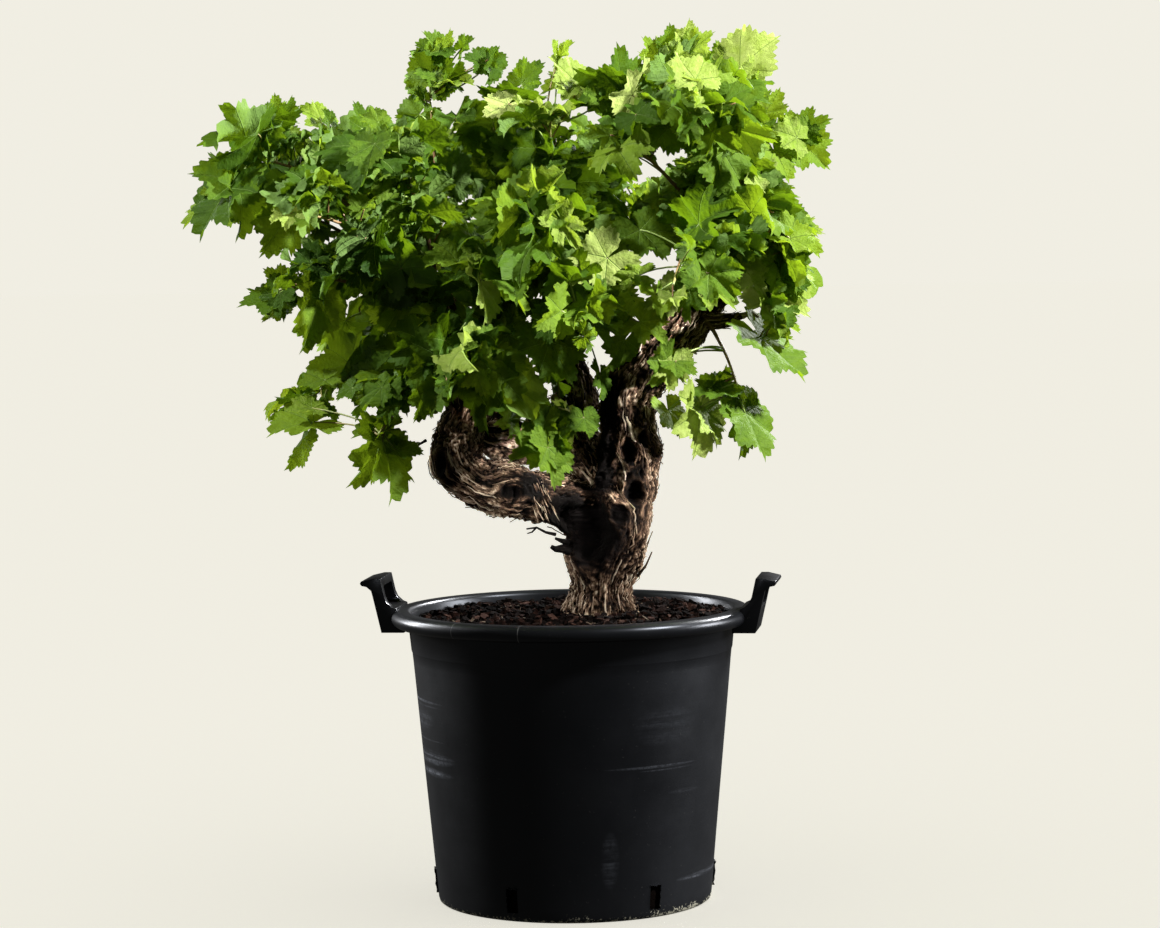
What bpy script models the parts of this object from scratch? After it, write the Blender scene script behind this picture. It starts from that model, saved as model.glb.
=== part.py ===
"""A bush grapevine in a nursery container: pot, handles, soil, old wood and leafy shoots.

Metres, +Z up. The origin is the centre of the container's base, on the floor.
+X is to the right and -Y is the front.
"""
import math

import bmesh
import bpy
from mathutils import Matrix, Vector, noise
from mathutils.bvhtree import BVHTree

# Container
POT_HEIGHT = 0.405
RIM_RADIUS = 0.250
BEAD_WIDTH = 0.027
BEAD_HEIGHT = 0.022
BEAD_POINTS = 5
BEAD_LEAN = 0.005
INNER_EDGE_DROP = 0.004
BASE_RADIUS = 0.190
NECK_RADIUS = 0.2250
WALL = 0.0030
FLOOR_THICKNESS = 0.0040
BAND_HEIGHT = 0.034
BAND_PROUD = 0.0012
BAND_STEP = 0.002
FOOT_BEVEL = (0.003, 0.006)
POT_SIDES = 48
POT_SHARP_ANGLE = 35
SLOT_COUNT = 6
SLOT_WIDTH = 0.015
SLOT_HEIGHT = 0.033
SLOT_BOTTOM = 0.012
SLOT_REACH = 0.05
SLOT_TURN = math.radians(-26)

# Handles
LEFT_HANDLE_TURN = math.radians(173)
RIGHT_HANDLE_TURN = math.radians(-8)
HANDLE_WIDTH = 0.094
LEG_WIDTH = 0.014
HANDLE_TOP = 0.044
HANDLE_BOTTOM = -0.031
GAP_BOTTOM = 0.004
GAP_TOP = 0.033
GAP_REACH = 0.12
HANDLE_SHARP_ANGLE = 30
# A handle's section as radius and height from the rim's top: up the outside, over the lip and down the inside
HANDLE_PROFILE = [
    (0.2270, HANDLE_BOTTOM),
    (0.2590, HANDLE_BOTTOM),
    (0.2700, 0.0170),
    (0.2725, 0.0270),
    (0.2790, 0.0325),
    (0.2860, 0.0340),
    (0.2880, 0.0370),
    (0.2870, 0.0400),
    (0.2700, HANDLE_TOP),
    (0.2600, HANDLE_TOP),
    (0.2545, 0.0190),
    (0.2510, 0.0110),
    (0.2440, 0.0045),
    (0.2380, 0.0020),
    (0.2380, -0.0120),
    (0.2270, -0.0120),
]
# The space that the container takes out of a handle reaches from the bead in to here
SEAT_RADIUS = 0.150
SEAT_BOTTOM = 0.300

# Soil
SOIL_TOP = 0.391
SOIL_SLOPE = 0.012
SOIL_MOUND = 0.005
SOIL_MOUND_RADIUS = 0.10
SOIL_LUMP = 0.003
SOIL_LUMP_SCALE = 24.0
SOIL_EDGE_DROP = 0.003
SOIL_RING = 0.60

# Fit between pieces that touch
GAP = 0.0003
CUT_GAP = 0.0006

# Canes: a cane starts inside its arm, at a share of the arm's radius, and thins towards its tip
CANE_RADIUS = 0.0042
CANE_TIP_RADIUS = 0.0022
CANE_SIDES = 4
CANE_RINGS = 4
CANE_ROOT = 0.62
CANE_TURN = math.radians(35)
CANE_TRIES = 40

# Old wood: hand placed centre line points (x, y, z) with the radius there
TRUNK = [
    ((0.036, 0.000, 0.300), 0.040),
    ((0.036, 0.000, 0.340), 0.049),
    ((0.037, 0.000, 0.385), 0.051),
    ((0.040, 0.000, 0.425), 0.048),
    ((0.044, 0.000, 0.470), 0.053),
    ((0.050, 0.000, 0.505), 0.061),
    ((0.050, 0.002, 0.540), 0.060),
    ((0.048, 0.004, 0.572), 0.046),
]
LEFT_ARM = [
    ((0.022, -0.004, 0.536), 0.026),
    ((-0.025, -0.014, 0.551), 0.032),
    ((-0.075, -0.022, 0.562), 0.036),
    ((-0.124, -0.026, 0.575), 0.038),
    ((-0.155, -0.022, 0.606), 0.037),
    ((-0.156, -0.014, 0.644), 0.036),
    ((-0.142, -0.006, 0.690), 0.033),
    ((-0.145, 0.004, 0.745), 0.029),
    ((-0.163, 0.010, 0.800), 0.024),
    ((-0.178, 0.012, 0.842), 0.015),
]
MIDDLE_ARM = [
    ((0.040, 0.026, 0.545), 0.026),
    ((0.022, 0.044, 0.596), 0.033),
    ((0.008, 0.058, 0.650), 0.031),
    ((0.008, 0.068, 0.706), 0.028),
    ((-0.008, 0.072, 0.762), 0.024),
    ((-0.020, 0.070, 0.815), 0.016),
]
INNER_ARM = [
    ((0.014, 0.040, 0.612), 0.016),
    ((-0.028, 0.032, 0.632), 0.022),
    ((-0.068, 0.026, 0.640), 0.024),
    ((-0.092, 0.024, 0.664), 0.022),
    ((-0.084, 0.026, 0.704), 0.019),
    ((-0.094, 0.030, 0.745), 0.014),
]
RIGHT_ARM = [
    ((0.066, -0.004, 0.535), 0.030),
    ((0.079, -0.010, 0.580), 0.038),
    ((0.080, -0.012, 0.640), 0.039),
    ((0.086, -0.010, 0.700), 0.041),
    ((0.118, -0.004, 0.750), 0.038),
    ((0.164, 0.004, 0.800), 0.033),
    ((0.196, 0.008, 0.850), 0.029),
    ((0.207, 0.010, 0.905), 0.023),
    ((0.206, 0.010, 0.945), 0.014),
]
SPUR = [
    ((0.184, 0.000, 0.806), 0.018),
    ((0.212, -0.012, 0.800), 0.013),
    ((0.242, -0.018, 0.804), 0.009),
]

# Each limb: name, centre line, rings, sides and a seed for its bark
LIMBS = [
    ("trunk", TRUNK, 12, 14, 3.1),
    ("left_arm", LEFT_ARM, 17, 11, 7.7),
    ("middle_arm", MIDDLE_ARM, 10, 10, 1.3),
    ("inner_arm", INNER_ARM, 9, 8, 5.9),
    ("right_arm", RIGHT_ARM, 17, 12, 9.2),
    ("spur", SPUR, 4, 6, 4.4),
]
# What each arm is cut by, in this order, where it grows out of older wood
CARRIERS = {
    "right_arm": ["trunk"],
    "left_arm": ["trunk", "right_arm"],
    "middle_arm": ["trunk", "right_arm", "left_arm"],
    "inner_arm": ["trunk", "middle_arm", "left_arm", "right_arm"],
}

# Bark: depth as a share of the radius, and how fine the ridges and lumps are
GRAIN_DEPTH = 0.26
GRAIN_ACROSS = 1.9
GRAIN_ALONG = 9.0
LUMP_DEPTH = 0.20
LUMP_SCALE = 22.0
KNOT_RISE = 0.55

# Knots on the old wood: place and size of the swelling
KNOTS = [
    ((0.088, -0.045, 0.500), 0.026),
    ((0.015, -0.050, 0.520), 0.024),
    ((0.118, -0.020, 0.622), 0.020),
    ((0.045, -0.040, 0.640), 0.016),
    ((-0.168, -0.050, 0.590), 0.018),
    ((-0.060, -0.040, 0.580), 0.016),
    ((0.120, -0.035, 0.720), 0.020),
    ((0.205, -0.015, 0.850), 0.016),
]

# Leafy shoots: name, old arm, share of the arm where it leaves, cane tip, rise above a straight line
SHOOTS = [
    ("left_shoot_1", "left_arm", 0.93, (-0.420, -0.050, 1.030), 0.045),
    ("left_shoot_2", "left_arm", 0.88, (-0.438, 0.070, 0.958), 0.050),
    ("left_shoot_3", "left_arm", 0.80, (-0.385, -0.120, 0.850), 0.050),
    ("left_shoot_4", "left_arm", 0.96, (-0.330, 0.130, 1.030), 0.030),
    ("left_shoot_5", "left_arm", 0.99, (-0.185, 0.030, 1.110), 0.000),
    ("left_shoot_6", "left_arm", 0.70, (-0.370, 0.030, 0.690), 0.040),
    ("left_shoot_7", "left_arm", 0.62, (-0.255, -0.140, 0.655), 0.035),
    ("left_shoot_8", "left_arm", 0.84, (-0.340, -0.220, 0.950), 0.040),
    ("left_shoot_9", "left_arm", 0.97, (-0.230, -0.160, 1.040), 0.030),
    ("left_shoot_10", "left_arm", 0.76, (-0.320, 0.220, 0.800), 0.045),
    ("left_shoot_11", "left_arm", 0.72, (-0.160, -0.200, 0.740), 0.040),
    ("inner_shoot_1", "inner_arm", 0.96, (-0.130, 0.270, 0.900), 0.030),
    ("inner_shoot_2", "inner_arm", 0.90, (-0.110, -0.180, 0.860), 0.040),
    ("middle_shoot_1", "middle_arm", 0.97, (-0.100, 0.100, 1.065), 0.010),
    ("middle_shoot_2", "middle_arm", 0.99, (-0.020, -0.020, 1.070), 0.010),
    ("middle_shoot_3", "middle_arm", 0.90, (-0.130, 0.240, 1.010), 0.030),
    ("middle_shoot_4", "middle_arm", 0.85, (-0.040, -0.220, 0.930), 0.040),
    ("middle_shoot_5", "middle_arm", 0.94, (0.045, 0.200, 1.050), 0.020),
    ("middle_shoot_6", "middle_arm", 0.70, (0.020, -0.220, 0.790), 0.045),
    ("middle_shoot_7", "middle_arm", 0.80, (0.010, 0.290, 0.930), 0.040),
    ("middle_shoot_8", "middle_arm", 0.45, (-0.060, -0.120, 0.665), 0.030),
    ("right_shoot_1", "right_arm", 0.99, (0.135, 0.030, 1.115), 0.010),
    ("right_shoot_2", "right_arm", 0.97, (0.240, -0.040, 1.095), 0.010),
    ("right_shoot_3", "right_arm", 0.94, (0.250, 0.030, 1.045), 0.025),
    ("right_shoot_4", "right_arm", 0.90, (0.285, -0.090, 0.925), 0.035),
    ("right_shoot_5", "right_arm", 0.80, (0.290, -0.050, 0.800), 0.040),
    ("right_shoot_6", "right_arm", 0.62, (0.235, -0.060, 0.690), 0.035),
    ("right_shoot_7", "right_arm", 0.95, (0.180, -0.200, 1.080), 0.020),
    ("right_shoot_8", "right_arm", 0.88, (0.080, -0.130, 1.040), 0.020),
    ("right_shoot_9", "right_arm", 0.92, (0.210, 0.240, 1.010), 0.030),
    ("right_shoot_10", "right_arm", 0.78, (0.275, 0.190, 0.860), 0.040),
    ("right_shoot_11", "right_arm", 0.84, (0.090, 0.230, 0.930), 0.030),
    ("right_shoot_12", "right_arm", 0.72, (0.140, -0.210, 0.850), 0.045),
]

# One half of a leaf's outline, from the base notch to the tip: across and along, for a leaf 1 long
LEAF_HALF = [
    (0.38, -0.20),
    (0.40, 0.08),
    (0.62, 0.36),
    (0.30, 0.54),
]
LEAF_CENTRE = 0.22
LEAF_STATIONS = (0.45, 0.73, 1.00)
LEAF_LENGTH = 0.094
LEAF_THICKNESS = 0.0022
LEAF_DROOP = 0.16
LEAF_FOLD = 0.20
LEAF_SIZE_STEP = 0.11
END_LEAF_CUT = 0.16
LEAF_TURN = math.radians(137.5)
LEAF_TRIES = 40
# A leaf is tried slightly larger, without its petiole's first stretch, so that it clears its neighbours
CLEARANCE_SCALE = 1.04
CLEARANCE_START = 0.30
PETIOLE_RADIUS = 0.0016
PETIOLE_LENGTH = 0.052
PETIOLE_ROOT = 0.0005
END_PETIOLE_SHARE = 0.55
CANOPY_CENTRE = Vector((-0.06, 0.0, 0.80))
LEAST_FLOW = 0.15
FLAT_ANGLE = math.radians(0.3)

# Colour, roughness and metallic value of each material
FINISHES = {
    "pot_plastic": ((0.018, 0.019, 0.021), 0.48, 0.0),
    "handle_plastic": ((0.010, 0.010, 0.011), 0.32, 0.0),
    "soil": ((0.052, 0.026, 0.016), 0.95, 0.0),
    "bark": ((0.090, 0.056, 0.038), 0.90, 0.0),
    "leaf": ((0.075, 0.190, 0.018), 0.50, 0.0),
}


def clear_scene():
    for old in list(bpy.data.objects):
        bpy.data.objects.remove(old)


def new_collection(name):
    made = bpy.data.collections.new(name)
    bpy.context.scene.collection.children.link(made)
    return made


def principled(name, finish):
    colour, roughness, metallic = FINISHES[finish]
    made = bpy.data.materials.new(name)
    made.use_nodes = True
    shader = made.node_tree.nodes["Principled BSDF"]
    shader.inputs["Base Color"].default_value = (*colour, 1.0)
    shader.inputs["Roughness"].default_value = roughness
    shader.inputs["Metallic"].default_value = metallic
    return made


def add_object(name, mesh, collection):
    made = bpy.data.objects.new(name, mesh)
    collection.objects.link(made)
    return made


def mesh_from(name, work):
    bmesh.ops.recalc_face_normals(work, faces=work.faces)
    mesh = bpy.data.meshes.new(name)
    work.to_mesh(mesh)
    work.free()
    return mesh


def freeze(target):
    """Replaces an object's mesh and modifiers by the mesh that they make."""
    graph = bpy.context.evaluated_depsgraph_get()
    graph.update()
    mesh = bpy.data.meshes.new_from_object(target.evaluated_get(graph))
    target.modifiers.clear()
    target.data = mesh
    return target


def combine(target, other, operation):
    step = target.modifiers.new(operation.lower(), "BOOLEAN")
    step.operation = operation
    step.object = other
    freeze(target)
    bpy.data.objects.remove(other)


def turned(name, profile, sides, collection):
    """A closed profile of (radius, height) points, turned about Z."""
    work = bmesh.new()
    corners = [work.verts.new((radius, 0.0, height)) for radius, height in profile]
    for first, second in zip(corners, corners[1:]):
        work.edges.new((first, second))
    if profile[0][0] > 0.0:
        work.edges.new((corners[-1], corners[0]))
    mesh = bpy.data.meshes.new(name)
    work.to_mesh(mesh)
    work.free()
    made = add_object(name, mesh, collection)
    screw = made.modifiers.new("turn", "SCREW")
    screw.steps = sides
    screw.render_steps = sides
    screw.use_merge_vertices = True
    screw.merge_threshold = 0.00001
    screw.use_normal_calculate = True
    return freeze(made)


def box(name, centre, size, turn, collection):
    """A box whose length runs along a radius, turned about Z."""
    work = bmesh.new()
    place = Matrix.Rotation(turn, 4, "Z") @ Matrix.Translation(centre) @ Matrix.Diagonal((*size, 1.0))
    bmesh.ops.create_cube(work, size=1.0, matrix=place)
    return add_object(name, mesh_from(name, work), collection)


def wall_radius(height):
    """Outer radius of the container's wall at a height."""
    share = height / (POT_HEIGHT - BEAD_HEIGHT)
    return BASE_RADIUS + (NECK_RADIUS - BASE_RADIUS) * share


def inner_radius(height):
    """Inner radius of the container's wall at a height, which runs straight up to the bead's inner edge."""
    foot = wall_radius(FLOOR_THICKNESS) - WALL
    share = (height - FLOOR_THICKNESS) / (POT_HEIGHT - INNER_EDGE_DROP - FLOOR_THICKNESS)
    return foot + (RIM_RADIUS - BEAD_WIDTH - foot) * share


def arc(centre, radius, start, end, count):
    angles = [start + (end - start) * step / (count - 1) for step in range(count)]
    return [(centre[0] + radius * math.cos(a), centre[1] + radius * math.sin(a)) for a in angles]


def bead_profile(grow=0.0):
    """The rim bead, from its inner top edge over the outside to the wall below it."""
    round_radius = BEAD_HEIGHT / 2
    middle = POT_HEIGHT - round_radius
    outer_centre = (RIM_RADIUS - round_radius, middle)
    inner_edge = (RIM_RADIUS - BEAD_WIDTH - grow, POT_HEIGHT - INNER_EDGE_DROP)
    inner_top = (RIM_RADIUS - BEAD_WIDTH + BEAD_LEAN, POT_HEIGHT + grow)
    outside = arc(outer_centre, round_radius + grow, math.pi / 2, -math.pi / 2, BEAD_POINTS)
    return [inner_edge, inner_top] + outside


def pot_profile():
    """Outside top to bottom, then the inside bottom to top."""
    band_bottom = POT_HEIGHT - BEAD_HEIGHT - BAND_HEIGHT
    under_bead = POT_HEIGHT - BEAD_HEIGHT
    outside = bead_profile() + [
        (wall_radius(under_bead) + BAND_PROUD, under_bead),
        (wall_radius(band_bottom) + BAND_PROUD, band_bottom),
        (wall_radius(band_bottom), band_bottom - BAND_STEP),
        (wall_radius(FOOT_BEVEL[1]), FOOT_BEVEL[1]),
        (BASE_RADIUS - FOOT_BEVEL[0], 0.0),
        (0.0, 0.0),
    ]
    inside = [
        (0.0, FLOOR_THICKNESS),
        (inner_radius(FLOOR_THICKNESS), FLOOR_THICKNESS),
    ]
    return outside + inside


def make_pot(parts, cutters):
    pot = turned_shell("pot", pot_profile(), parts)
    height = SLOT_BOTTOM + SLOT_HEIGHT / 2
    for number in range(SLOT_COUNT):
        turn = -math.pi / 2 + SLOT_TURN + number * math.tau / SLOT_COUNT
        centre = (wall_radius(height), 0.0, height)
        slot = box(f"slot_{number}", centre, (SLOT_REACH, SLOT_WIDTH, SLOT_HEIGHT), turn, cutters)
        combine(pot, slot, "DIFFERENCE")
    shade(pot, POT_SHARP_ANGLE)
    return pot


def turned_shell(name, profile, collection):
    """The container's profile starts and ends on its axis at the floor, so it is closed when turned."""
    start = next(i for i, point in enumerate(profile) if point[0] == 0.0)
    around = profile[start + 1:] + profile[: start + 1]
    return turned(name, around, POT_SIDES, collection)


def shade(target, degrees):
    target.data.shade_smooth()
    target.data.set_sharp_from_angle(angle=math.radians(degrees))


def make_handle(name, turn, parts, cutters):
    outline = bpy.data.curves.new(name, "CURVE")
    outline.dimensions = "2D"
    outline.fill_mode = "BOTH"
    outline.extrude = HANDLE_WIDTH / 2
    spline = outline.splines.new("POLY")
    spline.points.add(len(HANDLE_PROFILE) - 1)
    for point, (radius, height) in zip(spline.points, HANDLE_PROFILE):
        point.co = (radius, POT_HEIGHT + height, 0.0, 1.0)
    spline.use_cyclic_u = True
    drawn = add_object(name + "_outline", outline, cutters)
    drawn.matrix_world = Matrix.Rotation(turn, 4, "Z") @ Matrix.Rotation(math.pi / 2, 4, "X")
    bpy.context.view_layer.update()
    graph = bpy.context.evaluated_depsgraph_get()
    mesh = bpy.data.meshes.new_from_object(drawn.evaluated_get(graph))
    mesh.transform(drawn.matrix_world)
    bpy.data.objects.remove(drawn)
    work = bmesh.new()
    work.from_mesh(mesh)
    bmesh.ops.remove_doubles(work, verts=work.verts, dist=0.00001)
    handle = add_object(name, mesh_from(name, work), parts)
    gap_centre = (RIM_RADIUS, 0.0, POT_HEIGHT + (GAP_TOP + GAP_BOTTOM) / 2)
    gap_size = (GAP_REACH, HANDLE_WIDTH - 2 * LEG_WIDTH, GAP_TOP - GAP_BOTTOM)
    finger_gap = box("finger_gap", gap_centre, gap_size, turn, cutters)
    combine(handle, finger_gap, "DIFFERENCE")
    combine(handle, turned("seat", seat_profile(), POT_SIDES * 2, cutters), "DIFFERENCE")
    shade(handle, HANDLE_SHARP_ANGLE)
    return handle


def seat_profile():
    """The container's rim with a small gap all round, as a solid ring that cuts the handles."""
    band = NECK_RADIUS + BAND_PROUD + CUT_GAP
    under_bead = POT_HEIGHT - BEAD_HEIGHT - CUT_GAP
    inside = [(SEAT_RADIUS, POT_HEIGHT - INNER_EDGE_DROP)]
    below = [(band, under_bead), (band, SEAT_BOTTOM), (SEAT_RADIUS, SEAT_BOTTOM)]
    return inside + bead_profile(CUT_GAP)[1:] + below


def spline_point(points, place):
    """A point and radius on the smooth curve through hand placed points, at a share from 0 to 1."""
    spans = len(points) - 1
    span = min(int(place * spans), spans - 1)
    share = place * spans - span
    rows = [points[min(max(span + step, 0), spans)] for step in (-1, 0, 1, 2)]
    before, start, end, after = [Vector((*row[0], row[1])) for row in rows]
    return 0.5 * (
        2 * start
        + (end - before) * share
        + (2 * before - 5 * start + 4 * end - after) * share ** 2
        + (3 * start - before - 3 * end + after) * share ** 3
    )


def ring_frames(centres):
    """A steady pair of side directions at each point of a centre line."""
    frames = []
    side = None
    for index, centre in enumerate(centres):
        ahead = centres[min(index + 1, len(centres) - 1)] - centres[max(index - 1, 0)]
        ahead.normalize()
        if side is None:
            side = ahead.orthogonal().normalized()
        side = (side - side.dot(ahead) * ahead).normalized()
        frames.append((side.copy(), ahead.cross(side)))
    return frames


def bark_relief(place, along, angle, seed):
    """Ridges that run with the grain, and lumps, as a share of the radius."""
    around = Vector((math.cos(angle), math.sin(angle), 0.0)) * GRAIN_ACROSS
    grain = around + Vector((0.0, 0.0, along * GRAIN_ALONG + seed))
    lumps = place * LUMP_SCALE + Vector((seed, 0.0, 0.0))
    return GRAIN_DEPTH * noise.noise(grain) + LUMP_DEPTH * noise.noise(lumps)


def knot_swell(point):
    swell = 0.0
    for place, size in KNOTS:
        distance = (point - Vector(place)).length
        swell += KNOT_RISE * size * math.exp(-((distance / size) ** 2))
    return swell


def loft(name, rings, collection):
    """A closed skin over rings of points, with a point at each end."""
    work = bmesh.new()
    loops = [[work.verts.new(point) for point in ring] for ring in rings]
    sides = len(loops[0])
    for lower, upper in zip(loops, loops[1:]):
        for index in range(sides):
            after = (index + 1) % sides
            work.faces.new((lower[index], lower[after], upper[after], upper[index]))
    for loop in (loops[0], loops[-1]):
        middle = sum((vert.co for vert in loop), Vector()) / sides
        tip = work.verts.new(middle)
        for index in range(sides):
            work.faces.new((loop[index], loop[(index + 1) % sides], tip))
    bmesh.ops.triangulate(work, faces=work.faces)
    return add_object(name, mesh_from(name, work), collection)


def wood(name, points, rings, sides, seed, collection):
    """An old limb: a lofted tube with ridged, knotty bark and a rounded end."""
    samples = [spline_point(points, index / (rings - 1)) for index in range(rings)]
    centres = [sample.xyz for sample in samples]
    frames = ring_frames(centres)
    loops = []
    along = 0.0
    for index, (centre, (side, other)) in enumerate(zip(centres, frames)):
        if index:
            along += (centre - centres[index - 1]).length
        loop = []
        for step in range(sides):
            angle = step * math.tau / sides
            outward = math.cos(angle) * side + math.sin(angle) * other
            radius = samples[index].w * (1.0 + bark_relief(centre, along, angle, seed))
            surface = centre + outward * radius
            loop.append(surface + outward * knot_swell(surface))
        loops.append(loop)
    return loft(name, loops, collection)


def inflated(source, grow, collection):
    """A copy of a solid, grown along its normals, to cut a neighbour with a gap."""
    mesh = source.data.copy()
    normals = [vert.normal.copy() for vert in mesh.vertices]
    for vert, normal in zip(mesh.vertices, normals):
        vert.co += normal * grow
    return add_object(source.name + "_grown", mesh, collection)


def make_wood(parts, cutters):
    made = {row[0]: wood(*row, parts) for row in LIMBS}
    combine(made["right_arm"], made.pop("spur"), "UNION")
    for arm, carriers in CARRIERS.items():
        for carrier in carriers:
            combine(made[arm], inflated(made[carrier], CUT_GAP, cutters), "DIFFERENCE")
            keep_largest(made[arm])
    return made


def keep_largest(target):
    """Drops the crumbs that a cut leaves on the far side of a carrier."""
    work = bmesh.new()
    work.from_mesh(target.data)
    unseen = set(work.verts)
    groups = []
    while unseen:
        start = unseen.pop()
        group = {start}
        edge = [start]
        while edge:
            vert = edge.pop()
            for link in vert.link_edges:
                other = link.other_vert(vert)
                if other in unseen:
                    unseen.discard(other)
                    group.add(other)
                    edge.append(other)
        groups.append(group)
    groups.sort(key=len)
    for group in groups[:-1]:
        bmesh.ops.delete(work, geom=list(group), context="VERTS")
    work.to_mesh(target.data)
    work.free()


def soil_height(x, y):
    from_trunk = math.hypot(x - TRUNK[2][0][0], y)
    mound = SOIL_MOUND * math.exp(-((from_trunk / SOIL_MOUND_RADIUS) ** 2))
    lumps = SOIL_LUMP * noise.noise(Vector((x * SOIL_LUMP_SCALE, y * SOIL_LUMP_SCALE, 2.0)))
    return SOIL_TOP + SOIL_SLOPE * x + mound + lumps


def make_soil(trunk, parts, cutters):
    sides = POT_SIDES // 2
    bottom = FLOOR_THICKNESS + GAP
    loops = []
    edge = SOIL_TOP - SOIL_EDGE_DROP
    for height in (bottom, edge):
        loops.append([(inner_radius(height) - CUT_GAP, step, height) for step in range(sides)])
    loops.append([(inner_radius(edge) * SOIL_RING, step, None) for step in range(sides)])
    rings = []
    for loop in loops:
        ring = []
        for radius, step, height in loop:
            angle = step * math.tau / sides
            x, y = radius * math.cos(angle), radius * math.sin(angle)
            ring.append(Vector((x, y, soil_height(x, y) if height is None else height)))
        rings.append(ring)
    soil = loft("soil", rings, parts)
    combine(soil, inflated(trunk, CUT_GAP, cutters), "DIFFERENCE")
    return soil


def leaf_body(place, axis, normal, length, petiole_start):
    """A leaf blade as a thin folded lens with its petiole, as one closed mesh in bmesh form."""
    across = axis.cross(normal).normalized()
    normal = across.cross(axis).normalized()
    work = bmesh.new()

    def spot(x, y, lift=0.0):
        droop = -LEAF_DROOP * (x * x + (y - LEAF_CENTRE) ** 2)
        fold = LEAF_FOLD * abs(x)
        return place + length * (x * across + y * axis + (droop + fold) * normal) + lift * normal

    neck = PETIOLE_RADIUS / length
    left = [(-x, y) for x, y in LEAF_HALF]
    right = [(x, y) for x, y in LEAF_HALF]
    rim = [(-neck, 0.0)] + left + [(0.0, 1.0)] + right[::-1] + [(neck, 0.0)]
    edge = [work.verts.new(spot(x, y)) for x, y in rim]
    crown = work.verts.new(spot(0.0, LEAF_CENTRE, LEAF_THICKNESS / 2))
    keel = work.verts.new(spot(0.0, LEAF_CENTRE, -LEAF_THICKNESS / 2))
    saddle = work.verts.new(place + normal * PETIOLE_RADIUS * 1.5)
    for first, second in zip(edge, edge[1:]):
        work.faces.new((first, second, crown))
        work.faces.new((second, first, keel))
    work.faces.new((edge[-1], saddle, crown))
    work.faces.new((saddle, edge[0], crown))
    work.faces.new((edge[0], edge[-1], keel))
    along = (place - petiole_start).normalized()
    side = along.cross(normal).normalized()
    if side.dot(across) < 0:
        side = -side
    over = side.cross(along).normalized()
    if over.dot(normal) < 0:
        over = -over
    start = [
        work.verts.new(petiole_start - side * PETIOLE_RADIUS - over * PETIOLE_RADIUS * 0.4),
        work.verts.new(petiole_start + side * PETIOLE_RADIUS - over * PETIOLE_RADIUS * 0.4),
        work.verts.new(petiole_start + over * PETIOLE_RADIUS),
    ]
    end = [edge[0], edge[-1], saddle]
    for index in range(3):
        after = (index + 1) % 3
        work.faces.new((start[index], start[after], end[after], end[index]))
    work.faces.new(start)
    bmesh.ops.triangulate(work, faces=work.faces)
    bmesh.ops.recalc_face_normals(work, faces=work.faces)
    return work


def crosses_itself(work):
    work.faces.ensure_lookup_table()
    tree = BVHTree.FromBMesh(work)
    for first, second in tree.overlap(tree):
        if not set(work.faces[first].verts) & set(work.faces[second].verts):
            return True
    return False


def object_tree(target):
    work = bmesh.new()
    work.from_mesh(target.data)
    tree = BVHTree.FromBMesh(work)
    work.free()
    return tree


def cane_start(route, share, tip, attempt):
    """A point inside an arm, on the side that faces the cane's tip, turned a little for each attempt."""
    here = spline_point(route, share)
    ahead = (here.xyz - spline_point(route, share - 0.05).xyz).normalized()
    side = Vector(tip) - here.xyz
    side = (side - side.dot(ahead) * ahead).normalized()
    turn = (attempt + 1) // 2 * CANE_TURN * (-1) ** attempt
    return here.xyz + Matrix.Rotation(turn, 3, ahead) @ side * here.w * CANE_ROOT


def cane_points(start, tip, bow):
    """A cane rises, then arches over to its tip."""
    start, tip = Vector(start), Vector(tip)
    middle = start.lerp(tip, 0.5) + Vector((0.0, 0.0, bow))
    knee = start.lerp(middle, 0.5) + Vector((0.0, 0.0, bow * 0.45))
    return [
        (start, CANE_RADIUS),
        (knee, CANE_RADIUS * 0.95),
        (middle, CANE_RADIUS * 0.8),
        (middle.lerp(tip, 0.5) + Vector((0.0, 0.0, bow * 0.25)), CANE_RADIUS * 0.65),
        (tip, CANE_TIP_RADIUS),
    ]


def make_cane(name, points, collection):
    samples = [spline_point(points, index / (CANE_RINGS - 1)) for index in range(CANE_RINGS)]
    centres = [sample.xyz for sample in samples]
    loops = []
    for sample, (side, other) in zip(samples, ring_frames(centres)):
        loop = []
        for step in range(CANE_SIDES):
            angle = step * math.tau / CANE_SIDES
            loop.append(sample.xyz + sample.w * (math.cos(angle) * side + math.sin(angle) * other))
        loops.append(loop)
    return loft(name, loops, collection)


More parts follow.
